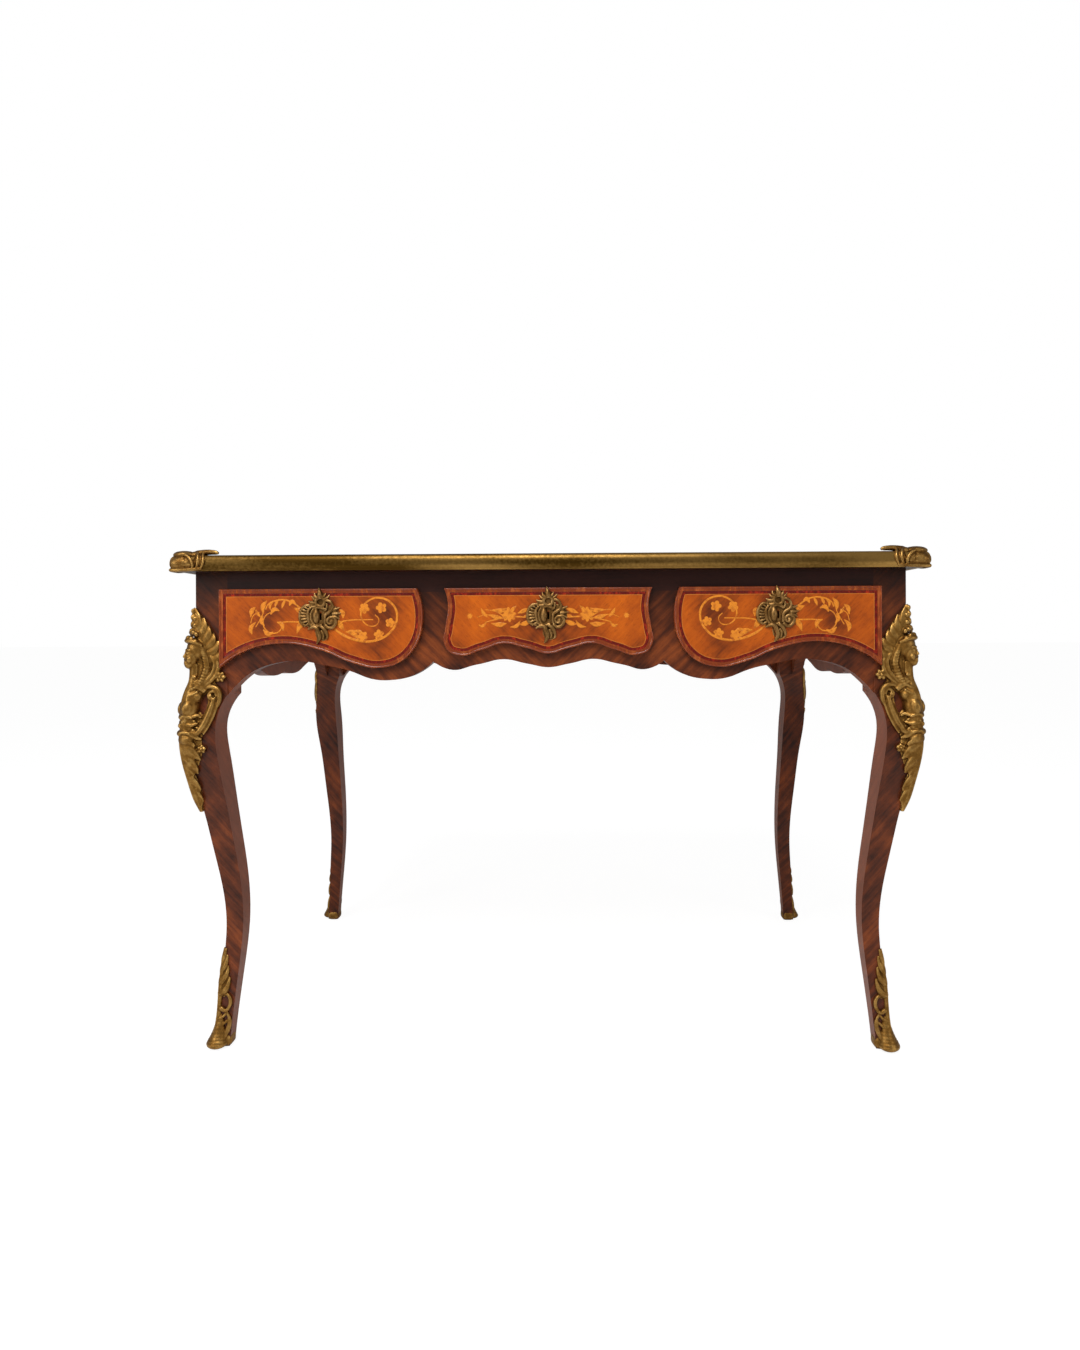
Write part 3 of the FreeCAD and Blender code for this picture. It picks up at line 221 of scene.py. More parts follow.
def grain_field(tree, across, along, streak, stretch, folded=True, sway=0.010):
    """Coordinates that run one unit per streak across the grain and one per stretch along it.
    Folded, both halves of the table mirror each other, as bookmatched veneers do."""
    place = own_place(tree)
    if folded:
        place = add(tree, "VectorMath", {0: place}, operation="ABSOLUTE").outputs[0]
    side, run = (add(tree, "VectorMath", {0: place, 1: way}, operation="DOT_PRODUCT").outputs["Value"]
                 for way in (across, along))
    side = times(tree, noise(tree, place, 9.0, 1.0), sway, side)
    side, run = times(tree, side, 1 / (streak * MM)), times(tree, run, 1 / (stretch * MM))
    return place, add(tree, "CombineXYZ", {"X": side, "Y": run}).outputs[0]


DIAGONAL_ACROSS = (0.7, 0.7, -0.7)
DIAGONAL_ALONG = (0.7, 0.7, 0.7)
UPRIGHT_ACROSS = (1.0, 1.0, 0.0)
LEVEL_ALONG = (1.0, 0.0, 0.0)
UP = (0.0, 0.0, 1.0)


# Painted shade under the top darkens the carcass between these heights, in metres.
SHADE_UNDER_TOP_FROM = 0.64
SHADE_UNDER_TOP_FULL = 0.76


def polished_wood(name, tones, across, along, streak, stretch, mottle, gloss, coat, folded=True, contrast=0.5,
                  shade_under_top=0.0, inner_tone=None):
    """Veneer under shellac: streaks and mottling in the wood, a smooth clear film over it."""
    material, tree, shader = begin(name)
    place, grain = grain_field(tree, across, along, streak, stretch, folded)
    streaks = noise(tree, grain, 1.0, 5.0, Roughness=0.62)
    clouds = noise(tree, place, 1 / (mottle * MM), 3.0)
    both = times(tree, streaks, contrast, times(tree, clouds, 1 - contrast))
    dark, mid, light = tones
    base = ramp(tree, both, (0.36, dark), (0.5, mid), (0.66, light))
    # Pores are about 0.3 mm wide, and drawn twice as coarse so that they show.
    pore_place = add(tree, "VectorMath", {0: grain, 1: (streak / 0.6, stretch / 9, 1.0)},
                     operation="MULTIPLY").outputs[0]
    pores = noise(tree, pore_place, 1.0, 1.0)
    base = blend(tree, "MULTIPLY", 1.0, base, ramp(tree, pores, (0.30, 0.62), (0.42, 1.0)))
    # A paler tone on the faces that look to the middle of the table.
    if inner_tone:
        facing = add(tree, "NewGeometry").outputs["True Normal"]
        turn = add(tree, "VectorMath", {0: facing, 1: own_place(tree)}, operation="MULTIPLY").outputs[0]
        inward = add(tree, "SeparateXYZ", {"Vector": turn}).outputs["X"]
        base = blend(tree, "MIX", span(tree, inward, -0.12, -0.3, 0.0, 0.6), base, inner_tone)
    # Painted shade: the veneer darkens towards the top, where the top's overhang shades it.
    if shade_under_top:
        height = add(tree, "SeparateXYZ", {"Vector": place}).outputs["Z"]
        wax = ramp(tree, span(tree, height, SHADE_UNDER_TOP_FROM, SHADE_UNDER_TOP_FULL), (0.0, 1.0), (1.0, shade_under_top))
        base = blend(tree, "MULTIPLY", 1.0, base, wax)
    plug(tree, shader, {
        "Base Color": base, "Roughness": span(tree, both, 0.3, 0.7, gloss + 0.08, gloss),
        "Normal": bump(tree, pores, 0.10, 0.0002), "Specular IOR Level": 0.22, "Coat Weight": coat,
        "Coat Roughness": 0.12,
    })
    return material


def kingwood():
    """Kingwood veneer laid on the diagonal: violet-brown streaks a few millimetres wide, shellacked,
    painted darker towards the top as shade, and paler on the faces that look to the middle of the table."""
    c = palette()
    tones = (c.kingwood_dark, c.kingwood_mid, c.kingwood_light)
    return polished_wood("kingwood_shellacked", tones, DIAGONAL_ACROSS, DIAGONAL_ALONG, 9, 120, 60, 0.34, 0.0,
                         shade_under_top=0.35, inner_tone=c.leg_inner)


def rail_in_painted_shade():
    """Kingwood painted dark for the shade that the top casts on it."""
    c = palette()
    tones = (c.rail, c.rail, c.kingwood_dark)
    return polished_wood("kingwood_painted_shade", tones, UP, LEVEL_ALONG, 6, 160, 50, 0.38, 0.0)


def drawer_field():
    """Stained fruitwood ground of the marquetry: warm orange, clouded darker, silky under the film."""
    c = palette()
    tones = (c.field_dark, c.field_mid, c.field_light)
    return polished_wood("fruitwood_stained", tones, DIAGONAL_ACROSS, DIAGONAL_ALONG, 5, 60, 70, 0.28, 0.12,
                         contrast=0.25)


def crossbanding():
    """Crossbanding in short flecked pieces of red wood, polished."""
    c = palette()
    tones = (c.band_dark, c.band_dark, c.band_light)
    return polished_wood("crossband_polished", tones, UPRIGHT_ACROSS, UP, 4, 9, 9, 0.26, 0.12, contrast=0.55)


def lip_wood():
    """Cross-grained lip moulding, worn pale along its crest by hands."""
    c = palette()
    tones = (c.lip, c.lip, c.lip_light)
    return polished_wood("lip_moulding_rubbed", tones, UPRIGHT_ACROSS, UP, 5, 30, 14, 0.24, 0.25,
                         contrast=0.6)


def stringing():
    """Boxwood line, pale and close-grained."""
    c = palette()
    tones = (c.inlay_dark, c.string, c.string)
    return polished_wood("boxwood_line", tones, UPRIGHT_ACROSS, UP, 2, 20, 30, 0.28, 0.12)


def inlay_wood():
    """Boxwood flowers and leaves, scorched in hot sand towards their edges for shading."""
    c = palette()
    tones = (c.inlay_dark, c.inlay_light, c.inlay_light)
    return polished_wood("boxwood_sand_shaded", tones, DIAGONAL_ALONG, DIAGONAL_ACROSS, 1.5, 12, 7, 0.3, 0.12,
                         contrast=0.35)


def oak(name, across, along):
    """Plain sawn oak with a wax finish inside: open grain, hardly any shine."""
    c = palette()
    mid = tuple((a + b) / 2 for a, b in zip(c.oak_dark, c.oak_light))
    return polished_wood(name, (c.oak_dark, mid, c.oak_light), across, along, 3.5, 150, 80, 0.55, 0.0,
                         folded=False, contrast=0.65)


def gilt_bronze(name, light, mid, dark):
    """Cast, chased and gilt bronze: rubbed bright on its crests, brown with dirt in its hollows."""
    material, tree, shader = begin(name)
    place = own_place(tree)
    hollow = add(tree, "Attribute", attribute_name="hollow", attribute_type="GEOMETRY").outputs["Fac"]
    # Patches of wear about 12 mm across, and a cast skin with pits about 1 mm across.
    patches, skin = noise(tree, place, 1 / 0.012, 3.0), noise(tree, place, 1 / 0.0012)
    level = times(tree, skin, 0.16, times(tree, patches, 0.35, hollow))
    plug(tree, shader, {
        "Base Color": ramp(tree, level, (0.50, light), (0.68, mid), (1.0, dark)),
        "Roughness": span(tree, level, 0.5, 0.95, 0.38, 0.62), "Normal": bump(tree, skin, 0.22, 0.0003),
        "Metallic": 1.0,
    })
    return material


def drawn_brass(name, streak_along):
    """Drawn brass edging: polished by sleeves and tarnished in long soft stretches."""
    c = palette()
    material, tree, shader = begin(name)
    place = own_place(tree)
    long = add(tree, "Mapping", {"Vector": place, "Scale": streak_along}).outputs[0]
    mix = times(tree, noise(tree, place, 1 / 0.004), 0.18, noise(tree, long))
    plug(tree, shader, {"Base Color": ramp(tree, mix, (0.45, c.brass_dark), (0.72, c.brass_light)),
                        "Roughness": span(tree, mix, 0.4, 0.8, 0.42, 0.27), "Metallic": 1.0})
    return material


def plain_metal(name, tone, roughness, grain=0.0006):
    """Filed metal with fine scratches."""
    material, tree, shader = begin(name)
    stretch = (1 / grain, 1 / grain, 30.0)
    stretched = add(tree, "Mapping", {"Vector": own_place(tree), "Scale": stretch}).outputs[0]
    scratch = noise(tree, stretched)
    dull = tuple(part * 0.6 for part in tone[:3]) + (1.0,)
    plug(tree, shader, {"Base Color": ramp(tree, scratch, (0.35, dull), (0.6, tone)), "Metallic": 1.0,
                        "Roughness": span(tree, scratch, 0.0, 1.0, roughness + 0.12, roughness)})
    return material


def morocco():
    """Goatskin writing surface: pebbled grain about 1 mm, darkened by wax, rubbed paler where hands rest."""
    c = palette()
    material, tree, shader = begin("leather_morocco")
    place = own_place(tree)
    cells = add(tree, "TexVoronoi", {"Vector": place, "Scale": 1 / 0.0013}, feature="SMOOTH_F1")
    pebble = cells.outputs["Distance"]
    wear = noise(tree, place, 1 / 0.16, 4.0)
    plug(tree, shader, {"Base Color": ramp(tree, wear, (0.42, c.leather), (0.68, c.leather_worn)),
                        "Normal": bump(tree, pebble, 0.35, 0.0003),
                        "Roughness": span(tree, wear, 0.0, 1.0, 0.55, 0.38)})
    return material


_made = {}


def finish_named(maker, *values):
    """Make each finish once and share it."""
    key = (maker.__name__, *values)
    if key not in _made:
        _made[key] = maker(*values)
    return _made[key]


def dress(node, *materials):
    """Give a CAD node its finish."""
    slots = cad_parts[node].data.materials
    slots.clear()
    for material in materials:
        slots.append(material)


# Shapes

def hands(rows):
    """Each row and its mirror image on the other side of the middle."""
    for row in rows:
        yield row
        if hasattr(row[0], "__len__"):
            yield tuple((-across, *rest) for across, *rest in row)
        else:
            yield (-row[0], *row[1:])


def rolls(bm, runs, place, flat=1.0, fineness=4):
    """Add smooth tapering rolls, as of wax. A run is a row of (across, up, out, radius) in millimetres."""
    curve = bpy.data.curves.new("wax", "CURVE")
    curve.dimensions = "3D"
    curve.bevel_depth = 1.0
    curve.bevel_resolution = 2
    curve.resolution_u = fineness
    curve.use_fill_caps = True
    for run in runs:
        spline = curve.splines.new("BEZIER")
        spline.radius_interpolation = "CARDINAL"
        spline.bezier_points.add(len(run) - 1)
        for point, (across, up, out, radius) in zip(spline.bezier_points, run):
            point.co = (across, up, out / flat)
            point.radius = radius
            point.handle_left_type = point.handle_right_type = "AUTO"
    holder = bpy.data.objects.new("wax", curve)
    mesh = bpy.data.meshes.new_from_object(holder)
    for vertex in mesh.vertices:
        across, up, out = vertex.co
        vertex.co = place(across, up, out * flat)
    bm.from_mesh(mesh)
    bpy.data.objects.remove(holder)
    bpy.data.curves.remove(curve)
    bpy.data.meshes.remove(mesh)


def beads(bm, rows, place, fineness=2):
    """Add rounded lumps: middle (across, up, out), then half sizes the same way, in millimetres."""
    for across, up, out, half_across, half_up, half_out in rows:
        made = bmesh.ops.create_icosphere(bm, subdivisions=fineness, radius=1.0)
        for vertex in made["verts"]:
            x, y, z = vertex.co
            vertex.co = place(across + x * half_across, up + y * half_up, out + z * half_out)


def flower(bm, middle, radius, petals, rise, place, turn=0.0, fineness=2):
    """Petals round a bead, on a surface at a height."""
    across, up, out = middle
    for number in range(petals):
        angle = turn + math.tau * number / petals
        reach = radius * 0.58
        made = bmesh.ops.create_icosphere(bm, subdivisions=fineness, radius=1.0)
        for vertex in made["verts"]:
            x, y, z = vertex.co
            long, wide = x * radius * 0.42, y * radius * math.pi / petals * 0.62
            vertex.co = place(
                across + (reach + long) * math.cos(angle) - wide * math.sin(angle),
                up + (reach + long) * math.sin(angle) + wide * math.cos(angle), out + z * rise,
            )
    beads(bm, [(across, up, out + rise * 0.4, radius * 0.24, radius * 0.24, rise)], place, fineness)


def to_mesh(name, bm, materials=(), crease=None):
    """Turn a working mesh into a finished one, smooth but for edges sharper than the crease."""
    mesh = bpy.data.meshes.new(name)
    bm.to_mesh(mesh)
    bm.free()
    for material in materials:
        mesh.materials.append(material)
    if crease is not None:
        mesh.shade_smooth()
        mesh.set_sharp_from_angle(angle=math.radians(crease))
    return mesh


def show(name, mesh, body, slot, *replaced):
    """Put a finished mesh into the scene as a piece that rides on a body."""
    piece = bpy.data.objects.new(name, mesh)
    bpy.context.scene.collection.objects.link(piece)
    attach(piece, body)
    if replaced:
        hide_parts(*replaced)
    return piece


def turned(mesh, name, across, along):
    """A copy of a mesh, mirrored left to right or front to back by signs."""
    copy = mesh.copy()
    copy.name = name
    copy.transform(Matrix.Diagonal((across, along, 1.0, 1.0)))
    if across * along < 0:
        copy.flip_normals()
    return copy


def settle(name, bm, *modifiers):
    """Apply modifiers, given as (kind, settings), to a working mesh and give the mesh that results."""
    mesh = bpy.data.meshes.new(name)
    bm.to_mesh(mesh)
    bm.free()
    holder = bpy.data.objects.new(name, mesh)
    bpy.context.scene.collection.objects.link(holder)
    for kind, settings in modifiers:
        modifier = holder.modifiers.new(kind, kind)
        for key, value in settings.items():
            setattr(modifier, key, value)
    bpy.context.view_layer.update()
    result = bpy.data.meshes.new_from_object(holder.evaluated_get(bpy.context.evaluated_depsgraph_get()))
    bpy.data.objects.remove(holder)
    result.name = name
    return result


def mount_tones():
    c = palette()
    return "bronze_cast_gilt", c.bronze_light, c.bronze_mid, c.bronze_dark


def mark_hollows(mesh, rounds=3, strength=1.5):
    """Store how hollow the surface is at each point: about 0 on crests and 1 in grooves."""
    count = len(mesh.vertices)
    place = np.empty(count * 3, np.float32)
    mesh.vertices.foreach_get("co", place)
    place = place.reshape(-1, 3)
    facing = np.empty(count * 3, np.float32)
    mesh.vertex_normals.foreach_get("vector", facing)
    facing = facing.reshape(-1, 3)
    ends = np.empty(len(mesh.edges) * 2, np.int32)
    mesh.edges.foreach_get("vertices", ends)
    near, far = ends.reshape(-1, 2).T
    step = place[far] - place[near]
    step /= np.maximum(np.linalg.norm(step, axis=1), 1e-9)[:, None]
    bend = np.zeros(count)
    share = np.maximum(np.bincount(near, minlength=count) + np.bincount(far, minlength=count), 1)
    np.add.at(bend, near, (step * facing[near]).sum(1))
    np.add.at(bend, far, -(step * facing[far]).sum(1))
    bend /= share
    for _ in range(rounds):
        spread = np.zeros(count)
        np.add.at(spread, near, bend[far])
        np.add.at(spread, far, bend[near])
        bend = (bend + spread / share) / 2
    shares = np.clip(0.42 + bend * strength, 0, 1).astype(np.float32)
    mesh.attributes.new("hollow", "FLOAT", "POINT").data.foreach_set("value", shares)


def cast(name, bm, grain, easing, tones, *more):
    """Melt rolls and beads into one soft casting, gilt and rubbed, in the tones of one kind of mount."""
    mesh = settle(
        name, bm, ("REMESH", {"mode": "VOXEL", "voxel_size": grain * MM, "use_smooth_shade": True}),
        ("SMOOTH", {"factor": 0.5, "iterations": easing}), *more,
    )
    mark_hollows(mesh, strength=1.2)
    mesh.materials.clear()
    mesh.materials.append(finish_named(gilt_bronze, tones[0], *map(tuple, tones[1:])))
    mesh.shade_smooth()
    return mesh


# The leg's corner

# The leg's corner is felt from this far outside, this far off its arris, and at these steps, in millimetres.
FEEL_FROM = 50
FEEL_ASIDE = 0.2
FEEL_STEP = 4


def leg_profile():
    """Where the front right corner of the frieze is, and how far the leg's corner stands out from it at
    even heights, in millimetres, felt from outside along the diagonal."""
    bm = bmesh.new()
    bm.from_mesh(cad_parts["leg_front_right"].data)
    tree = BVHTree.FromBMesh(bm)
    bm.free()
    low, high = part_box("leg_front_right")
    outward, sideways = Vector((1, -1, 0)).normalized(), Vector((1, 1, 0)).normalized()
    start = Vector((high.x, low.y, 0)) + outward * FEEL_FROM * MM + sideways * FEEL_ASIDE * MM
    reach = []
    for height in np.arange(low.z + MM, high.z - MM, FEEL_STEP * MM):
        spot = tree.ray_cast(start + Vector((0, 0, height)), -outward)[0]
        if spot:
            reach.append((height / MM, spot.x / MM))
    edge = reach[-1][1]
    return Vector((edge, low.y / MM + high.x / MM - edge)), [(height, out - edge) for height, out in reach]


LEG_CORNER, LEG_REACH = leg_profile()
OUTWARD = Vector((1, -1)) / math.sqrt(2)
SIDEWAYS = Vector((1, 1)) / math.sqrt(2)


def leg_reach(height):
    """Read the leg's corner at a height, between the places that are known."""
    return float(np.interp(height, *zip(*LEG_REACH)))


def round_corner(corner, across, up, out, ease=9.0):
    """Wrap flat relief round an upright corner: below 0 it lies on the front face, above on the side."""
    share = min(max((across + ease) / (2 * ease), 0.0), 1.0)
    share = share * share * (3 - 2 * share)
    facing = (Vector((0, -1)) * (1 - share) + Vector((1, 0)) * share).normalized()
    spot = corner + Vector((min(across, 0.0), max(across, 0.0))) + facing * out
    return Vector((spot.x, spot.y, up)) * MM


def on_leg(across, up, out):
    """A place on the front right leg's outer faces."""
    reach = leg_reach(up)
    return round_corner(LEG_CORNER + Vector((reach, -reach)), across, up, out)


def on_diagonal(across, up, out):
    """A place before the front right leg's corner, measured straight along the diagonal."""
    reach = leg_reach(up)
    spot = LEG_CORNER + Vector((reach, -reach)) + SIDEWAYS * across + OUTWARD * out
    return Vector((spot.x, spot.y, up)) * MM


def four_copies(mesh, stem, slot):
    """The front right mount and its mirror images replace the four CAD mounts."""
    for corner, (across, along) in CORNERS.items():
        copy = turned(mesh, f"{stem}_{corner}_bronze", across, along)
        show(f"{stem}_{corner}_bronze", copy, "root", slot, f"{stem}_{corner}")


# Carcass

class TABLE_OT_carcass(bpy.types.Operator):
    """Veneer the legs, rails and panels, and finish the oak inside"""
    bl_idname = "table.carcass"
    bl_label = "Carcass"

    def execute(self, context):
        wood = finish_named(kingwood)
        for corner in CORNERS:
            dress(f"leg_{corner}", wood)
        for node in ("apron_front", "stile_left", "stile_right", "side_panel_left", "side_panel_right",
                     "rear_panel", "top_panel"):
            dress(node, wood)
        dress("top_rail_front", finish_named(rail_in_painted_shade))
        lengthwise = finish_named(oak, "oak_lengthwise", (0.0, 1.0, 1.0), LEVEL_ALONG)
        inward = finish_named(oak, "oak_inward", (1.0, 0.0, 1.0), (0.0, 1.0, 0.0))
        for node in ("divider_left", "divider_right", "drawer_runners", "drawer_kickers", "corner_blocks"):
            dress(node, inward)
        for side in SIDES:
            dress(f"drawer_front_{side}", finish_named(lip_wood))
            dress(f"drawer_sides_{side}", inward)
            dress(f"drawer_bottom_{side}", lengthwise)
            dress(f"drawer_back_{side}", lengthwise)
            dress(f"lock_{side}",
                  finish_named(plain_metal, "brass_filed", tuple(palette().brass_light), 0.32))
            dress(f"lock_bolt_{side}", finish_named(plain_metal, "steel_filed", tuple(palette().steel), 0.3))
        dress("top_screws", finish_named(plain_metal, "steel_filed", tuple(palette().steel), 0.3))
        return {"FINISHED"}


# Drawer fronts

CORNER_TURN = math.radians(28)
# Steps of the rounded lip: share of its width, and height over the field's level in millimetres.
LIP_STEPS = ((0.03, 0.55), (0.09, 0.95), (0.18, 1.22), (0.32, 1.35), (0.5, 1.25), (0.68, 0.95), (0.84, 0.5),
             (1.0, 0.1))
# Places along Y of the field and of the back of the lip, and the rise of the field's ground, in millimetres.
FIELD_LEVEL = -328.25
LIP_BACK = -320.5
GROUND_RISE = 0.1
OUTLINE_STEP = 1.2


def front_outline(node, depth):
    """The outline of a drawer front at one depth, as a dense smooth run through the CAD's corners."""
    bm = bmesh.new()
    bm.from_mesh(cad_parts[node].data)
    bmesh.ops.remove_doubles(bm, verts=bm.verts, dist=TOUCH)
    left = [edge for edge in bm.edges if all(abs(vertex.co.y - depth) < 2 * TOUCH for vertex in edge.verts)]
    run = [min((vertex for edge in left for vertex in edge.verts),
               key=lambda vertex: (vertex.co.x, vertex.co.z))]
    while step := next((edge for edge in left if run[-1] in edge.verts), None):
        left.remove(step)
        run.append(step.other_vert(run[-1]))
    points = [vertex.co.copy() for vertex in run[:-1]]
    bm.free()
    curve = bpy.data.curves.new("outline", "CURVE")
    curve.dimensions = "3D"
    curve.resolution_u = 8
    spline = curve.splines.new("BEZIER")
    spline.use_cyclic_u = True
    spline.bezier_points.add(len(points) - 1)
    for number, spot in enumerate(points):
        before = spot - points[number - 1]
        after = points[(number + 1) % len(points)] - spot
        point = spline.bezier_points[number]
        point.co = spot
        handle = "VECTOR" if before.angle(after) > CORNER_TURN else "AUTO"
        point.handle_left_type = point.handle_right_type = handle
    holder = bpy.data.objects.new("outline", curve)
    mesh = bpy.data.meshes.new_from_object(holder)
    bpy.data.objects.remove(holder)
    bpy.data.curves.remove(curve)
    dense = [vertex.co.xz for vertex in mesh.vertices]
    bpy.data.meshes.remove(mesh)
    return spread_evenly(np.array([tuple(spot) for spot in dense]), OUTLINE_STEP * MM)


def spread_evenly(line, gap):
    """Points at even steps along a closed line, from its first point on and anticlockwise."""
    across, up = line.T
    if (across * np.roll(up, -1) - np.roll(across, -1) * up).sum() < 0:
        line = np.roll(line[::-1], 1, axis=0)
    closed = np.vstack([line, line[:1]])
    run = np.concatenate([[0], np.cumsum(np.linalg.norm(np.diff(closed, axis=0), axis=1))])
    steps = np.linspace(0, run[-1], int(run[-1] / gap), endpoint=False)
    return np.stack([np.interp(steps, run, closed[:, axis]) for axis in (0, 1)], axis=1)


def inset_line(line, distance):
    """A closed line moved inwards; where its ends would cross, at corners, they gather in the mitre."""
    ahead = np.roll(line, -1, axis=0) - np.roll(line, 1, axis=0)
    ahead /= np.maximum(np.linalg.norm(ahead, axis=1), 1e-9)[:, None]
    moved = line + np.stack([-ahead[:, 1], ahead[:, 0]], axis=1) * distance
    clear = np.linalg.norm(moved[:, None] - line[None], axis=2).min(axis=1)
    sound = np.flatnonzero(clear > distance * 0.985 - 0.02 * MM)
    places = np.arange(len(line))
    before = sound[np.searchsorted(sound, places, side="right") - 1]
    after = sound[np.searchsorted(sound, places) % len(sound)]
    return (moved[before] + moved[after]) / 2


def next_ring(bm, corners, line, level, material):
    """Grow a band of faces from one ring of corners to the next, corner by corner."""
    edges = [edge for number, corner in enumerate(corners) for edge in corner.link_edges
             if edge.other_vert(corner) is corners[number - 1]]
    grown = bmesh.ops.extrude_edge_only(bm, edges=edges)["geom"]
    fresh = {item for item in grown if isinstance(item, bmesh.types.BMVert)}
    ahead = [next(edge.other_vert(corner) for edge in corner.link_edges if edge.other_vert(corner) in fresh)
             for corner in corners]
    for corner, (across, up) in zip(ahead, line):
        corner.co = (across, level, up)
    for item in grown:
        if isinstance(item, bmesh.types.BMFace):
            item.material_index = material
    return ahead


def moulded_front(side):
    """A rounded lip, crossbanding, a light line and the field, inset one after another."""
    z = sizes()
    node = f"drawer_front_{side}"
    low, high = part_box(node)
    line = front_outline(node, low.y + z.lip_splay)
    level = FIELD_LEVEL * MM
    band = z.lip_width + z.band_width
    steps = [(0.02 * MM, level, 0)]
    steps += [(z.lip_width * share, level - rise * MM, 0) for share, rise in LIP_STEPS]
    ground = level - GROUND_RISE * MM
    steps += [(band, ground, 1), (band + z.string_width, ground, 2)]
    bm = bmesh.new()
    corners = bmesh.ops.create_circle(bm, segments=len(line), radius=1.0)["verts"]
    for corner, (across, up) in zip(corners, line):
        corner.co = (across, LIP_BACK * MM, up)
    for distance, depth, material in steps:
        corners = next_ring(bm, corners, inset_line(line, distance), depth, material)
    bmesh.ops.remove_doubles(bm, verts=bm.verts, dist=4 * TOUCH)
    before = [edge for edge in bm.edges if edge.is_boundary and abs(edge.verts[0].co.y - ground) < TOUCH / 10]
    middle = LOCK_PLACES[side] * MM
    slot = [bm.verts.new((middle + across * z.keyhole_width / 2, depth,
                          KEYHOLE_HEIGHT * MM + up * z.keyhole_length / 2))
            for across, up in ((-1, -1), (1, -1), (1, 1), (-1, 1))]
    slot_edges = [bm.edges.new((slot[number - 1], slot[number])) for number in range(4)]
    ring = [corner for edge in before for corner in edge.verts]
    for corner, way in ((slot[0], -1), (slot[2], 1)):
        beyond = [spot for spot in ring if (spot.co.z - corner.co.z) * way > 0]
        slot_edges.append(bm.edges.new((corner, min(beyond, key=lambda spot: abs(spot.co.x - corner.co.x)))))
    made = bmesh.ops.edgenet_fill(bm, edges=before + slot_edges)["faces"]
    bmesh.ops.delete(bm, geom=[face for face in made if len(face.verts) == 4], context="FACES_ONLY")
    for face in made:
        if face.is_valid:
            face.material_index = 3
    bm.normal_update()
    for face in bm.faces:
        if face.normal.y > 0.02:
            face.normal_flip()
    woods = [finish_named(maker) for maker in (lip_wood, crossbanding, stringing, drawer_field)]
    return to_mesh(f"moulded_front_{side}", bm, woods, crease=38)


def backed(mesh):
    """Close the open back of a false front with one flat face."""
    bm = bmesh.new()
    bm.from_mesh(mesh)
    rim = [edge for edge in bm.edges if edge.is_boundary and abs(edge.verts[0].co.y + LIP_BACK * MM) < TOUCH]
    bmesh.ops.contextual_create(bm, geom=rim)
    bmesh.ops.recalc_face_normals(bm, faces=bm.faces)
    bm.to_mesh(mesh)
    bm.free()
    return mesh


class TABLE_OT_drawer_fronts(bpy.types.Operator):
    """Mould and veneer the drawer fronts and the false fronts behind"""
    bl_idname = "table.drawer_fronts"
    bl_label = "Drawer fronts"

    def execute(self, context):
        for side in SIDES:
            mesh = moulded_front(side)
            show(f"moulded_front_{side}", mesh, f"drawer_{side}", "marquetry_veneer")
            rear = backed(turned(mesh, f"moulded_front_{side}_rear", 1, -1))
            show(f"moulded_front_{side}_rear", rear, "root", "marquetry_veneer", f"rear_false_front_{side}")
        return {"FINISHED"}


# Marquetry

# The right drawer's inlay, in millimetres from its keyhole: stems, then leaves, as (across, up, radius).
SIDE_STEMS = (
    ((-18, -16, 1.4), (-34, -28, 2.0), (-60, -38, 2.0), (-88, -38, 2.0), (-112, -24, 1.8), (-122, -2, 1.8),
     (-116, 18, 1.8), (-98, 29, 1.7), (-78, 26, 1.5), (-66, 12, 1.4), (-66, -4, 1.2), (-76, -14, 1.0),
     (-88, -14, 0.9), (-93, -5, 0.8), (-87, 3, 0.7)),
    ((-26, -10, 1.6), (-44, -6, 1.1), (-66, -5, 0.9), (-84, -5, 0.8)),
    ((18, 2, 1.2), (32, 14, 1.3), (52, 26, 1.3), (72, 26, 1.2), (84, 20, 1.0), (88, 12, 0.9)),
    ((20, -8, 1.4), (40, -8, 1.2), (58, -8, 1.0), (68, -10, 0.8)),
    ((62, -8, 0.9), (64, -20, 1.0), (76, -26, 1.0), (88, -20, 1.0), (92, -8, 1.0), (86, 4, 0.9),
     (76, 8, 0.8)),
    ((92, 6, 0.8), (98, -6, 0.8), (104, -16, 0.7)),
    ((98, 8, 0.7), (108, 2, 0.7), (112, -10, 0.7)),
)
SIDE_LEAVES = (
    ((-30, 12, 0.6), (-35, 6, 4.2), (-36, -2, 1.0)), ((-26, -2, 0.8), (-32, -14, 4.5), (-38, -22, 0.8)),
    ((26, 2, 0.8), (34, 10, 4.4), (42, 14, 0.8)), ((24, -6, 0.8), (33, -14, 4.6), (38, -26, 0.8)),
    ((40, 22, 0.8), (46, 24, 3.8), (50, 18, 0.8)), ((56, 28, 0.8), (60, 20, 2.4), (62, 14, 0.6)),
    ((66, 29, 0.8), (71, 22, 2.4), (73, 15, 0.6)), ((76, 24, 0.8), (81, 18, 2.4), (80, 11, 0.6)),
    ((86, 26, 0.8), (92, 17, 4.2), (92, 6, 0.8)), ((80, 4, 0.8), (74, 12, 3.6), (66, 10, 0.8)),
    ((70, -8, 0.8), (62, -12, 3.6), (60, -22, 0.8)), ((76, -24, 0.8), (84, -27, 3.8), (92, -20, 0.8)),
    ((90, -14, 0.8), (95, -6, 3.4), (92, 2, 0.8)), ((104, 16, 0.8), (110, 10, 3.8), (112, 0, 0.8)),
    ((104, -8, 0.8), (112, -18, 3.8), (110, -27, 0.8)), ((96, 0, 0.8), (101, 6, 2.6), (104, 12, 0.6)),
    ((-60, -36, 0.8), (-52, -26, 4.6), (-40, -24, 0.8)), ((-70, -32, 0.6), (-62, -24, 3.2), (-54, -22, 0.6)),
)
SIDE_FLOWERS = ((-97, 14, 9), (-70, 13, 8.5), (-111, -10, 8), (-93, -29, 8.5), (-67, -31, 8.5))
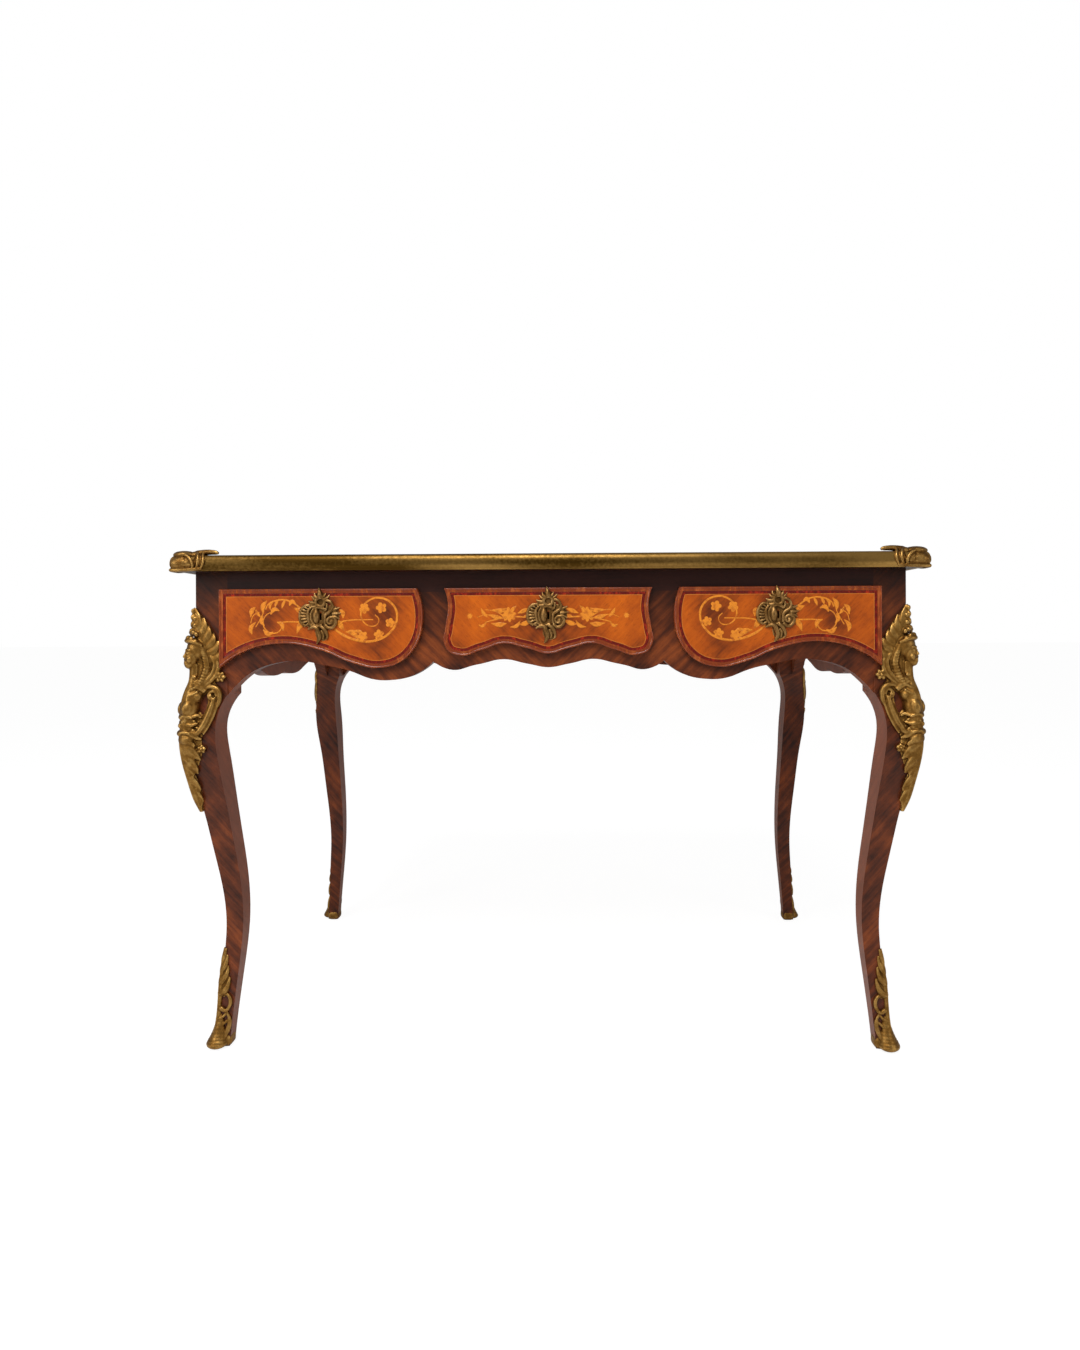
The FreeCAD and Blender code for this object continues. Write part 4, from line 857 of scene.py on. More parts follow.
CENTRE_STEMS = (
    ((16, -4, 0.9), (36, -2, 1.2), (60, -2, 1.2), (84, -6, 1.0), (100, -10, 0.7)),
    ((70, 0, 0.8), (86, 8, 0.8), (100, 10, 0.6)), ((84, -4, 0.6), (98, 2, 0.6), (112, -2, 0.5)),
)
CENTRE_LEAVES = (
    ((28, 12, 0.6), (38, 8, 3.6), (48, 4, 0.8)), ((24, -6, 0.6), (36, -12, 4.0), (46, -14, 0.8)),
    ((50, 16, 0.6), (56, 10, 3.0), (60, 4, 0.6)), ((66, 12, 0.6), (76, 8, 4.0), (88, 10, 0.6)),
    ((70, -4, 0.6), (82, -2, 3.8), (94, 2, 0.6)), ((66, -12, 0.6), (76, -14, 4.2), (90, -12, 0.6)),
    ((96, -2, 0.6), (102, 4, 2.8), (106, 12, 0.6)), ((98, -10, 0.6), (104, -16, 2.6), (110, -14, 0.6)),
    ((22, 4, 0.6), (30, 1, 2.6), (38, 0, 0.6)), ((44, -8, 0.6), (50, -16, 3.0), (60, -18, 0.6)),
)
CENTRE_FLOWERS = ((62, 2, 12), (124, 0, 4.5))


def inlay(side):
    """Stems, leaves and flowers let into one drawer field, a hair proud of it."""
    level = (FIELD_LEVEL - GROUND_RISE) * MM
    middle = LOCK_PLACES[side] * MM
    hand = -1 if side == "left" else 1

    def on_field(across, up, out):
        return Vector((middle + hand * across * MM, level - out * MM, (KEYHOLE_HEIGHT + up) * MM))

    stems, leaves, flowers = (
        (CENTRE_STEMS, CENTRE_LEAVES, CENTRE_FLOWERS) if side == "centre"
        else (SIDE_STEMS, SIDE_LEAVES, SIDE_FLOWERS)
    )
    flat = sizes().inlay_rise / MM / 4
    bm = bmesh.new()
    rows = [tuple((across, up, 0.0, radius) for across, up, radius in run) for run in stems + leaves]
    blooms = [(across, up, radius) for across, up, radius in flowers]
    if side == "centre":
        rows = list(hands(rows))
        blooms = list(hands(blooms))
    rolls(bm, rows, on_field, flat=flat, fineness=8)
    for number, (across, up, radius) in enumerate(blooms):
        flower(bm, (across, up, 0.0), radius, 5 if side != "centre" else 8, sizes().inlay_rise / MM, on_field,
               turn=number * 0.9)
    bmesh.ops.recalc_face_normals(bm, faces=bm.faces)
    return to_mesh(f"inlay_{side}", bm, [finish_named(inlay_wood)])


class TABLE_OT_marquetry(bpy.types.Operator):
    """Let flowers, leaves and stems into the drawer fields"""
    bl_idname = "table.marquetry"
    bl_label = "Marquetry"

    def execute(self, context):
        for side in SIDES:
            mesh = inlay(side)
            show(f"inlay_{side}", mesh, f"drawer_{side}", "marquetry_veneer")
            show(f"inlay_{side}_rear", turned(mesh, f"inlay_{side}_rear", 1, -1), "root", "marquetry_veneer")
        return {"FINISHED"}


# Edge of the top

# Section of the brass edge: how far out of its width, and height over the underside, in millimetres.
EDGE_SECTION = (
    (0, 0), (9.6, 0), (9.8, 1.2), (10.6, 2.2), (12.4, 4.0), (13.6, 6.6), (14.0, 9.6), (14.0, 13.0),
    (13.7, 16.4), (12.8, 19.6), (11.2, 22.2), (9.4, 23.9), (7.4, 24.8), (5.0, 25.0), (0, 25.0),
)


EDGE_DEPTH = max(out for out, up in EDGE_SECTION)
# Tarnish: its turns in one metre along the brass and across it.
TARNISH_ALONG = 3.0
TARNISH_ACROSS = 24.0


def edge_length(node):
    """One length of the edge moulding, cut to its mitres, in the place of its CAD node."""
    low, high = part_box(node)
    along = Vector((1, 0, 0)) if node.endswith(("front", "rear")) else Vector((0, 1, 0))
    out = {"front": Vector((0, -1, 0)), "rear": Vector((0, 1, 0)),
           "left": Vector((-1, 0, 0)), "right": Vector((1, 0, 0))}[node.split("_")[-1]]
    half = max(abs(low.dot(along)), abs(high.dot(along)))
    depth = max(low.dot(out), high.dot(out))
    inner = depth - EDGE_DEPTH * MM
    bm = bmesh.new()
    ring = [bm.verts.new(out * (inner + across * MM) + along * -half + Vector((0, 0, low.z + up * MM)))
            for across, up in EDGE_SECTION]
    face = bm.faces.new(ring)
    grown = bmesh.ops.extrude_face_region(bm, geom=[face])["geom"]
    far_end = [item for item in grown if isinstance(item, bmesh.types.BMVert)]
    bmesh.ops.translate(bm, vec=along * half * 2, verts=far_end)
    for end in (-1, 1):
        corner = out * depth + along * (half * end)
        mitre = (along * end - out).normalized()
        bmesh.ops.bisect_plane(bm, geom=bm.verts[:] + bm.edges[:] + bm.faces[:], dist=TOUCH / 10,
                               plane_co=corner, plane_no=mitre)
        gone = [face for face in bm.faces if (face.calc_center_median() - corner).dot(mitre) > TOUCH]
        bmesh.ops.delete(bm, geom=gone, context="FACES")
        bmesh.ops.contextual_create(bm, geom=[edge for edge in bm.edges if edge.is_boundary])
    bmesh.ops.recalc_face_normals(bm, faces=bm.faces)
    streak = tuple(TARNISH_ALONG if part else TARNISH_ACROSS for part in along)
    name = "brass_drawn_long" if abs(along.x) > 0 else "brass_drawn_short"
    return to_mesh(f"{node}_brass", bm, [finish_named(drawn_brass, name, streak)], crease=35)


class TABLE_OT_edge(bpy.types.Operator):
    """Run the brass edge round the top"""
    bl_idname = "table.edge"
    bl_label = "Brass edge"

    def execute(self, context):
        for side in ("front", "rear", "left", "right"):
            node = f"edge_moulding_{side}"
            show(f"{node}_brass", edge_length(node), "root", "edge_brass", node)
        return {"FINISHED"}


# Corner clasp: (across, up, out, radius), in millimetres. Across runs along the edges of the top from the
# corner, up is the height over the floor, and out below zero lies in on the writing surface.
CLASP_WRAP = (
    ((0, 774.5, -1, 3), (16, 774.5, 1.5, 3), (34, 775, 1.5, 3), (50, 776.5, 0, 2.4)),
    ((36, 775, 1.5, 2), (37, 783, 2.4, 2.4), (31, 794, 1.5, 2.6), (19, 800, -3, 2.6), (6, 802, -9, 2.4),
     (0, 802, -12, 2)),
    ((42, 776, 0.6, 2), (45, 786, 1.6, 2.4), (44, 796, -1, 2.4), (40, 802, -9, 2)),
    ((49, 777, 0.2, 2), (53, 786, 1.2, 2.2), (52, 795, -1.5, 2.2), (49, 802, -9, 2)),
    ((36, 802, -14, 4.4), (50, 803.4, -11, 4), (62, 803.6, -9, 3.4), (70, 802.4, -9, 3),
     (73, 800.4, -9, 2.4)),
    ((44, 802, -20, 3.6), (56, 802.6, -20, 3), (66, 801.4, -18, 2)),
)
CLASP_LUMPS = (
    (15, 785, -4.2, 19, 11, 9), (27, 786, -5, 11, 11, 8.6), (45, 787, -6.4, 12, 12, 8.8),
    (18, 796, -12, 18, 7.6, 12), (36, 798, -14, 12, 7, 12),
)
CLASP_MIDDLE = (
    (0, 785, -14, 16, 12, 13.6), (0, 799, -24, 20, 7, 18), (0, 801, -46, 9, 3.6, 10),
)

CLASP_EASE = 14.0


def clasp():
    """A shell over the corner: a bulging lobe under a raised rim, ribs, and a leaf that lies on the top."""
    low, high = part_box("edge_moulding_front")
    corner = Vector((high.x, low.y)) / MM

    def on_top_corner(across, up, out):
        return round_corner(corner, across, up, out, CLASP_EASE)

    def square(across, up, out):
        spot = corner + SIDEWAYS * across + OUTWARD * out
        return Vector((spot.x, spot.y, up)) * MM

    bm = bmesh.new()
    rolls(bm, list(hands(CLASP_WRAP)), on_top_corner)
    beads(bm, list(hands(CLASP_LUMPS)), on_top_corner)
    beads(bm, CLASP_MIDDLE, square, 3)
    c = palette()
    tones = ("bronze_cast_handled", c.bronze_light, c.clasp_mid, c.bronze_dark)
    return cast("corner_clasp", bm, 0.8, 8, tones)


class TABLE_OT_clasps(bpy.types.Operator):
    """Set a bronze clasp over each corner of the top"""
    bl_idname = "table.clasps"
    bl_label = "Corner clasps"

    def execute(self, context):
        four_copies(clasp(), "corner_clasp", "gilt_bronze")
        return {"FINISHED"}


# Escutcheons

# Rolls of the escutcheon: (across, up, out, radius), in millimetres from the keyhole.
ESCUTCHEON_ROLLS = (
    ((1, 28, 3, 3), (0, 34, 3.6, 3.6), (-1, 40, 3, 2.8), (-2, 46, 2, 0.8)),
    ((4, 29, 3, 2), (7, 33, 2.8, 2), (9, 38, 1.8, 0.8)),
    ((-4, 29, 3, 2.4), (-8, 33, 2.4, 2), (-9, 38, 1.6, 0.8)),
    ((-6, 26, 2.6, 2.2), (-11, 29, 2, 1.6), (-14, 33, 1.3, 0.6)),
    ((-7, 22, 2.6, 2.2), (-14, 23, 2, 1.8), (-19, 25, 1.3, 0.8)),
    ((-6, 17, 2.6, 2.4), (-13, 16, 2, 1.8), (-18, 19, 1.3, 0.7)),
    ((8, 27, 2.6, 2), (12, 31, 2, 1.5), (15, 35, 1.3, 0.6)),
    ((0.4, 30, 3, 2.2), (-5.5, 27, 3, 2.2), (-6.5, 21.5, 3, 2.2), (-3, 17.5, 3, 2.2), (4, 17.5, 3, 2.2),
     (7, 22, 3, 2.2), (5.5, 28, 3, 2.2), (0.4, 30, 3, 2.2)),
    ((8, 25, 2.6, 2), (14, 25, 3, 2.2), (19, 20, 3.2, 2), (19.5, 12, 3.2, 2), (14, 7, 3.6, 2.2),
     (9, 3, 3.6, 2.2), (7.5, -5, 3, 1.8), (8, -12, 2.6, 1.8)),
    ((4, 17, 3, 1.6), (8, 10.5, 3, 1.4), (10.5, 14, 3, 1.3), (11, 21, 3, 1.3)),
    ((19, 10, 2.6, 1.8), (25, 12, 2.2, 1.8), (31, 15, 1.5, 0.7)),
    ((19, 4, 2.6, 2), (26, 5, 2.2, 2), (33, 6, 1.3, 0.7)),
    ((20, 0, 2.6, 2), (26, -1, 2.2, 1.8), (31, -4, 1.3, 0.6)),
    ((8, -13, 2.6, 2.2), (15, -18, 2.6, 2.4), (22, -15, 2.6, 2.4), (25, -7, 2.8, 2.2), (20, -1, 3, 2),
     (13, -3, 3.2, 1.8), (12, -9, 3.2, 1.6), (17, -11, 3.6, 1.5), (18, -7, 3.6, 1.2)),
    ((-16, 18, 2.6, 2), (-24, 17, 2.6, 2.4), (-30, 10, 2.6, 2.4), (-32, 0, 2.6, 2.4), (-30, -9, 2.6, 2.2),
     (-23, -15, 2.6, 2)),
    ((-15, 15, 3.4, 1.5), (-19, 8, 4, 1.9), (-19, -2, 4, 1.9), (-16, -11, 3.4, 1.8), (-10, -16, 3, 1.6)),
    ((-20, -20, 2, 1), (-14, -17, 3, 2.4), (-7, -17, 3.6, 3), (-3, -24, 3.6, 3.2), (-1, -32, 3, 3),
     (-3, -38, 2.6, 2.4), (-6, -43, 2, 1)),
    ((1, -15, 3.6, 2.4), (6, -19, 3.6, 2.6), (10, -26, 3, 2.4), (11, -33, 2.2, 1.6), (8, -37, 1.6, 0.7)),
    ((2, -22, 3, 1.6), (5, -29, 2.8, 1.8), (4, -36, 2, 1)),
    ((-9, 15, 2.4, 1.6), (-14.4, 5, 2.4, 1.6), (-13, -8, 2.4, 1.7), (-6, -15, 2.6, 2), (3, -13, 2.6, 2)),
    ((8, 12, 2.6, 1.6), (5, 13, 3, 1.8), (-2, 15, 3, 2), (-8, 13, 2.6, 1.8)),
)
# The rolls lie lower than their table says, and are thicker.
ROLL_HEIGHT = 0.8
ROLL_GIRTH = 1.25
ESCUTCHEON_RIBS = ((-23, 15), (-26.5, 11), (-28.5, 6), (-29, 1), (-28, -4), (-26, -9), (-21.5, -13))
ESCUTCHEON_LUMPS = (
    (1, 2, 0, 19, 20, 1.2), (0, 27, 0, 11.5, 12, 1), (-1, -24, 0, 8, 14, 1.4), (-18, 0, 0, 14, 17, 1.2),
    (17, 2, 0, 14, 17, 1.2), (4, -30, 0, 6, 9, 1.4),
    (-6.6, 1, 0.6, 6.2, 12.4, 6.8), (-26, 1, 1, 6, 15, 2.6), (19, -8, 1, 6, 7, 2.4), (22, 5, 1, 5, 7, 2.2),
    (-5, -16, 1, 9, 5, 2.6), (0, 34, 1, 6, 7, 2.2), (-12, 20, 1, 6, 6, 2), (8, -22, 1, 4, 8, 2.2),
)


def escutcheon():
    """An asymmetrical keyhole plate of scrolls and leaves round a cabochon, at the middle of the table."""

    def on_front(across, up, out):
        return Vector((across, FIELD_LEVEL - out, KEYHOLE_HEIGHT + up)) * MM

    bm = bmesh.new()
    rolls(bm, [tuple((across, up, out * ROLL_HEIGHT, radius * ROLL_GIRTH) for across, up, out, radius in run)
               for run in ESCUTCHEON_ROLLS], on_front)
    ribs = [((across * 0.78, up * 0.8, 3.0, 1.2), (across, up, 3.8, 1.5),
             (across * 1.14, up * 1.16, 2.2, 1.0)) for across, up in ESCUTCHEON_RIBS]
    rolls(bm, ribs, on_front)
    beads(bm, ESCUTCHEON_LUMPS, on_front, 3)
    cutter = bpy.data.objects.get("keyhole_cutter")
    c = palette()
    tones = ("bronze_cast_worn", c.plate_light, c.plate_mid, c.plate_dark)
    return cast("escutcheon", bm, 0.62, 2, tones, ("BOOLEAN", {"object": cutter, "operation": "DIFFERENCE"}))


def keyhole_cutter():
    """An upright slot that passes through the plate at the middle of the table."""
    z = sizes()
    bm = bmesh.new()
    bmesh.ops.create_cube(bm, size=1.0)
    bmesh.ops.scale(bm, vec=(z.keyhole_width * 0.72, 30 * MM, z.keyhole_length * 1.2), verts=bm.verts)
    bmesh.ops.bevel(bm, geom=[edge for edge in bm.edges if abs(edge.verts[0].co.y - edge.verts[1].co.y) > MM],
                    offset=z.keyhole_width * 0.3, segments=4, affect="EDGES", profile=0.5, material=-1)
    bmesh.ops.translate(bm, vec=Vector((0.6, FIELD_LEVEL, KEYHOLE_HEIGHT + 1)) * MM, verts=bm.verts)
    holder = bpy.data.objects.new("keyhole_cutter", to_mesh("keyhole_cutter", bm))
    bpy.context.scene.collection.objects.link(holder)
    return holder


class TABLE_OT_escutcheons(bpy.types.Operator):
    """Pin a bronze keyhole plate to each drawer front and false front"""
    bl_idname = "table.escutcheons"
    bl_label = "Escutcheons"

    def execute(self, context):
        cutter = keyhole_cutter()
        mesh = escutcheon()
        bpy.data.objects.remove(cutter)
        for side in SIDES:
            name = f"escutcheon_{side}_bronze"
            copy = mesh.copy()
            copy.transform(Matrix.Translation((LOCK_PLACES[side] * MM, 0, 0)))
            show(name, copy, f"drawer_{side}", "gilt_bronze", f"escutcheon_{side}")
            rear = turned(copy, f"{name}_rear", 1, -1)
            show(f"{name}_rear", rear, "root", "gilt_bronze", "rear_escutcheons")
        return {"FINISHED"}


# Knee mounts

# Knee mount on the leg's faces: (across, up, out, radius), in millimetres. Across runs from the corner.
CHUTE_PLATES = (
    ((0, 716, 1, 3), (2, 702, 1, 8), (5, 690, 1, 13), (11, 674, 1, 17), (14, 660, 1, 21), (16, 645, 1, 23),
     (17, 630, 1, 23), (17, 617, 1, 22), (15, 603, 1, 20), (12, 592, 1, 18), (7, 582, 1, 13), (2, 565, 1, 12),
     (2, 548, 1, 13), (8, 535, 1, 17), (9, 520, 1, 17), (8, 506, 1, 16), (11, 492, 1, 15), (8, 479, 1, 14),
     (4, 466, 1, 11), (1, 452, 1, 6), (2, 438, 1, 7), (2, 420, 1, 6), (0, 402, 1, 4), (0, 388, 1, 2.5)),
    ((30, 612, 2, 8), (38, 606, 2, 9), (44, 604, 2, 8)),
    ((26, 590, 2, 10), (34, 580, 2, 11), (34, 566, 2, 10), (32, 553, 2, 9), (28, 540, 2, 9), (23, 528, 2, 9),
     (16, 518, 2, 9)),
)
# Broad leaves: the plumes of the headdress, one over the other.
CHUTE_LEAVES = (
    ((22, 634, 5, 4), (31, 633, 4.5, 7), (36, 640, 3.5, 5.5), (39, 650, 2.5, 1.5)),
    ((18, 644, 5, 4), (28, 647, 5, 7), (34, 655, 4, 5.5), (36, 664, 2.5, 1.5)),
    ((15, 652, 5.5, 4), (24, 659, 5.5, 7), (28, 667, 4.5, 5.5), (28, 676, 2.5, 1.5)),
    ((12, 658, 6, 4), (18, 669, 6, 7), (21, 679, 5, 5.5), (20, 688, 2.5, 1.5)),
    ((9, 664, 6.5, 4), (12, 678, 6, 7), (14, 690, 4.5, 5.5), (13, 701, 2.5, 1.5)),
    ((4, 672, 6.5, 4), (5, 686, 6, 6.5), (4, 702, 4, 5.5), (0, 717, 2.5, 1.5)),
)
CHUTE_ROLLS = (
    ((30, 638, 4, 2.6), (37, 628, 4, 3.4), (37.5, 616, 4, 3.6), (31, 603, 5, 3.4), (20, 593, 6, 3),
     (9, 585, 7, 2.4)),
    ((25, 640, 5, 2.6), (31, 630, 5, 3.2), (31, 617, 5, 3.4), (25, 605, 6, 3.2), (15, 594, 7, 2.8),
     (6, 586, 8, 2.2)),
    ((10, 655, 6, 4), (16, 641, 6, 5.5), (20, 622, 5.5, 5.5), (14, 602, 6, 5), (6, 588, 7, 4)),
    ((4, 597, 8, 4), (12, 588, 7, 4), (21, 583, 6, 3.4)),
    ((20, 589, 5, 3), (32, 590, 5, 4), (41, 584, 4.5, 4.4), (44, 572, 4, 4), (42, 561, 3.5, 3.2),
     (38, 551, 2.5, 1.2)),
    ((39, 575, 5, 2.4), (35, 583, 5.5, 2.8), (28, 580, 6, 2.8), (28, 573, 6.5, 2.6), (33, 571, 6.5, 2.2)),
    ((35, 573, 5, 3.4), (34, 562, 5, 4.6), (32, 550, 5.5, 5.2), (29, 538, 6, 5.4), (24, 526, 6.5, 5.2),
     (17, 517, 7, 4.6), (9, 519, 8, 3.6)),
    ((41, 560, 3, 2.4), (39, 548, 3.5, 2.6), (36, 536, 4, 2.4), (31, 523, 4, 2.2), (26, 514, 3.5, 1.4)),
    ((0, 543, 13, 2.6), (8, 543, 10, 3.2), (16, 545, 7, 3), (21, 541, 6, 1.8)),
    ((0, 532, 13, 3), (9, 530, 9, 3.2), (17, 533, 6, 2)),
    ((5, 601, 6, 5), (13, 590, 5, 6), (20, 582, 4, 5)),
    ((2, 519, 10, 4), (10, 515, 8, 4.6), (18, 510, 6, 4), (25, 507, 4, 2)),
    ((0, 508, 10, 4), (8, 503, 8, 4.4), (15, 496, 6, 3.4)),
)
# The leaf below the figure: lobes that lie one over the other.
CHUTE_TAIL = (
    ((-2, 500, 8, 6), (8, 489, 7, 9), (16, 480, 5, 6), (21, 474, 3.5, 2)),
    ((-2, 484, 7.5, 6), (5, 470, 6.5, 9), (10, 459, 4.5, 6), (11, 451, 3, 2)),
    ((-2, 466, 7.5, 5), (2, 452, 6, 6), (3, 443, 4, 2.4)),
    ((-2, 450, 7, 5), (3, 437, 6, 7), (6, 426, 4, 4), (5, 419, 3, 1.6)),
    ((-2, 430, 7, 4.6), (2, 417, 6, 6), (4.5, 407, 4, 3.4), (3, 401, 3, 1.4)),
    ((-2, 411, 6.5, 4), (0, 399, 5, 4), (0, 391, 3.6, 2)),
)
CHUTE_SPINE = (
    ((0, 503, 7, 6), (0, 485, 7, 5), (0, 463, 6.5, 4.4), (0, 441, 6.5, 4), (0, 421, 7, 4), (0, 407, 7, 3.6),
     (0, 395, 5.5, 3), (0, 388, 4.5, 2.4)),
)
CHUTE_BEADS = (
    (30.5, 576, 8, 2.6, 2.6, 2.2), (6, 525, 10, 2.6, 2.6, 2.2), (12, 522, 9, 2.8, 2.8, 2.2),
    (17, 526, 7, 2.4, 2.4, 2), (11, 536, 8.5, 3, 2.2, 2.2), (3, 512, 12, 2.6, 2.6, 2.2),
    (14, 500, 8, 2.2, 2.2, 2), (4, 606, 9, 2.4, 2.4, 2),
)
# The figure, straight before the corner: lumps as middle and half sizes, then rolls.
FIGURE_LUMPS = (
    (0, 651, -2, 17, 20, 17), (0, 639, 7, 11.5, 17, 11), (0, 626, 11, 7.5, 7, 7), (0, 555, 2, 16, 20, 15),
    (0, 574, -2, 18, 13, 12), (0, 528, 0, 13, 16, 13), (0, 507, 1, 15, 11, 12), (0, 583, 2, 12, 12, 9),
    (0, 530, 13, 4, 4.4, 3.6), (0, 668, 13, 5, 4.6, 4.6), (0, 679, 8, 4.2, 5, 4), (0, 690, 6, 4, 5.6, 3.8),
    (0, 701, 5.4, 3.6, 5.6, 3.8), (0, 711, 4.4, 3, 4.6, 3.6),
)
FIGURE_PAIRS = (
    (6.0, 634, 13, 4.6, 6, 4.6), (4.6, 643.5, 15.6, 2.5, 1.5, 1.9), (8, 557, 8.5, 8, 13.5, 10.5),
    (6, 667, 11, 4.6, 4.2, 4.2), (11, 663, 6.5, 4.4, 4.4, 4.4), (5, 677, 7.5, 3.6, 4, 3.6),
    (10, 674, 4.5, 3.6, 4.4, 3.6),
    (5, 688, 5, 3.2, 4.2, 3.4), (4, 699, 4, 2.8, 4, 3), (5, 535, 12, 2.6, 2.6, 2.6),
)
FIGURE_ROLLS = (
    ((0, 626, 2, 9), (0, 611, 1.5, 8.5), (0, 597, 2, 9), (0, 585, 3, 12), (0, 570, 3, 15), (0, 550, 2, 14.5),
     (0, 530, 1, 13), (0, 510, 1, 12)),
    ((0, 650, 16.6, 1.5), (0, 644, 17.2, 1.5), (0, 639, 19.6, 1.9), (0, 636.6, 19.4, 2.1)),
    ((-4, 629.6, 15.6, 0.9), (0, 630.4, 18.4, 1.3), (4, 629.6, 15.6, 0.9)),
    ((-3.2, 627.6, 15.8, 0.8), (0, 627, 18.0, 1.4), (3.2, 627.6, 15.8, 0.8)),
    ((-16, 656, -2, 3), (-11, 662, 10, 3.2), (0, 664, 15.6, 3.4), (11, 662, 10, 3.2), (16, 656, -2, 3)),
    ((-14, 592, 0, 2.4), (-7, 585, 10, 2.2), (0, 580, 12, 2.2), (7, 585, 10, 2.2), (14, 592, 0, 2.4)),
    ((-15, 583, 0, 1.8), (-8, 574, 12, 1.8), (0, 569, 15, 1.8), (8, 574, 12, 1.8), (15, 583, 0, 1.8)),
    ((-15, 541, 2, 2.6), (-7, 545, 13, 2.4), (0, 542, 15, 2.6), (7, 545, 13, 2.4), (15, 541, 2, 2.6)),
    ((-14, 517, 2, 3.0), (-7, 519, 11, 3.0), (0, 516, 13, 3.2), (7, 519, 11, 3.0), (14, 517, 2, 3.0)),
)
FIGURE_FACE_PAIRS = (
    ((1.8, 648.4, 16.4, 1.1), (5.5, 649.6, 15.2, 1.2), (9.4, 645.6, 11.0, 0.9)),
    ((2.2, 643, 15.8, 0.6), (4.8, 645, 17.0, 0.7), (7.6, 643, 13.8, 0.6)),
)
# The braid beside the head: its course, and the number of ribs across it.
BRAID = ((11, 653, 10), (16, 640, 10), (20, 622, 9), (15, 603, 9.5), (7, 589, 10))
BRAID_RIBS = 17


def knee_mount():
    """A figure in a plumed headdress on scrolls, over a leaf that tapers down the corner of the leg."""
    bm = bmesh.new()
    rolls(bm, list(hands(CHUTE_PLATES)), on_leg, flat=0.2)
    rolls(bm, list(hands(CHUTE_LEAVES)), on_leg, flat=0.42)
    rolls(bm, list(hands(CHUTE_ROLLS)), on_leg)
    rolls(bm, list(hands(CHUTE_TAIL)), on_leg, flat=0.5)
    rolls(bm, CHUTE_SPINE, on_leg)
    ribs = []
    for number in range(BRAID_RIBS):
        at = number / (BRAID_RIBS - 1) * (len(BRAID) - 1.001)
        step, share = int(at), at - int(at)
        across, up, out = (a + (b - a) * share for a, b in zip(BRAID[step], BRAID[step + 1]))
        ribs.append(((across - 6, up + 2.4, out - 3, 1.0), (across, up, out + 1, 1.5),
                     (across + 6, up - 1, out - 3, 1.0)))
    rolls(bm, list(hands(ribs)), on_leg)
    beads(bm, FIGURE_LUMPS, on_diagonal, 3)
    beads(bm, list(hands(FIGURE_PAIRS)), on_diagonal)
    rolls(bm, FIGURE_ROLLS, on_diagonal)
    rolls(bm, list(hands(FIGURE_FACE_PAIRS)), on_diagonal)
    beads(bm, list(hands(CHUTE_BEADS)), on_leg)
    for hand in (-1, 1):
        flower(bm, (42 * hand, 606, 4), 9.5, 6, 4, on_leg)
        flower(bm, (25 * hand, 492, 4), 7.5, 5, 3.6, on_leg, turn=0.4)
    return cast("chute", bm, sizes().bronze_grain / MM, 5, mount_tones())


class TABLE_OT_knee_mounts(bpy.types.Operator):
    """Fit a bronze figure to the knee of each leg"""
    bl_idname = "table.knee_mounts"
    bl_label = "Knee mounts"

    def execute(self, context):
        four_copies(knee_mount(), "chute", "gilt_bronze")
        return {"FINISHED"}


# Shoes

# Shoe: rolls on the leg's faces as (across, up, out, radius), and lumps before its corner as middle and
# half sizes, in millimetres.
SHOE_ROLLS = (
    ((13, 20, 2, 4.4), (18, 34, 2, 4), (18, 47, 2, 3), (13, 57, 2, 1.8)),
    ((0, 33, 2, 3.4), (8, 38, 2.2, 3), (16, 45, 2, 2.4)),
    ((0, 47, 2, 3.2), (7, 50, 2.2, 2.8), (12, 56, 2, 2)),
    ((3, 64, 2, 3.4), (10, 60, 2.4, 3.2), (16, 66, 2.4, 3), (17, 77, 2.2, 3), (12, 85, 2, 2.6),
     (5, 87, 2, 2.4)),
    ((2, 86, 2.4, 4), (8, 93, 2.4, 5), (12, 105, 2, 3.4), (13, 113, 1.6, 1.4)),
    ((1, 104, 2.4, 4), (6, 113, 2.4, 4.4), (9, 124, 2, 2.8), (9, 131, 1.4, 1.2)),
    ((0, 122, 2.2, 3.6), (4, 131, 2, 3.6), (6, 142, 1.6, 2), (6, 148, 1.2, 1)),
    ((0, 138, 2, 3), (2, 148, 2, 2.4), (3, 159, 1.4, 1.2)),
)
SHOE_PLATES = (
    ((2, 82, 0.6, 7), (4, 95, 0.6, 10), (3, 112, 0.6, 9), (2, 128, 0.6, 7), (1, 145, 0.6, 4),
     (1, 157, 0.6, 2)),
    ((1, 16, 0.6, 16), (2, 26, 0.6, 14), (3, 33, 0.6, 6)),
)
SHOE_SPINE = (
    ((0, 20, 2, 5.6), (0, 46, 2, 3.8), (0, 72, 2, 3.4), (0, 98, 2.2, 3.8), (0, 122, 2, 3.2), (0, 145, 2, 2.6),
     (1, 160, 1.6, 1)),
)
SHOE_LUMPS = (
    (0, 8.6, -2, 19, 8.2, 17), (0, 12, -2.2, 17.6, 9, 15.8), (0, 16, -2.5, 15.6, 10, 14),
    (0, 20, -2.8, 14, 11, 12.6), (0, 25, -3, 12.2, 12, 11), (0, 30, -3, 10.6, 12, 9.6),
    (0, 36, -3, 9.2, 12, 8), (0, 44, -3, 7.6, 11, 6.4),
)
# The cup under the leg: its middle across and along, its half width and its height, in millimetres.
SHOE_CUP = (534.9, -288.9, 13.8, 22.0)


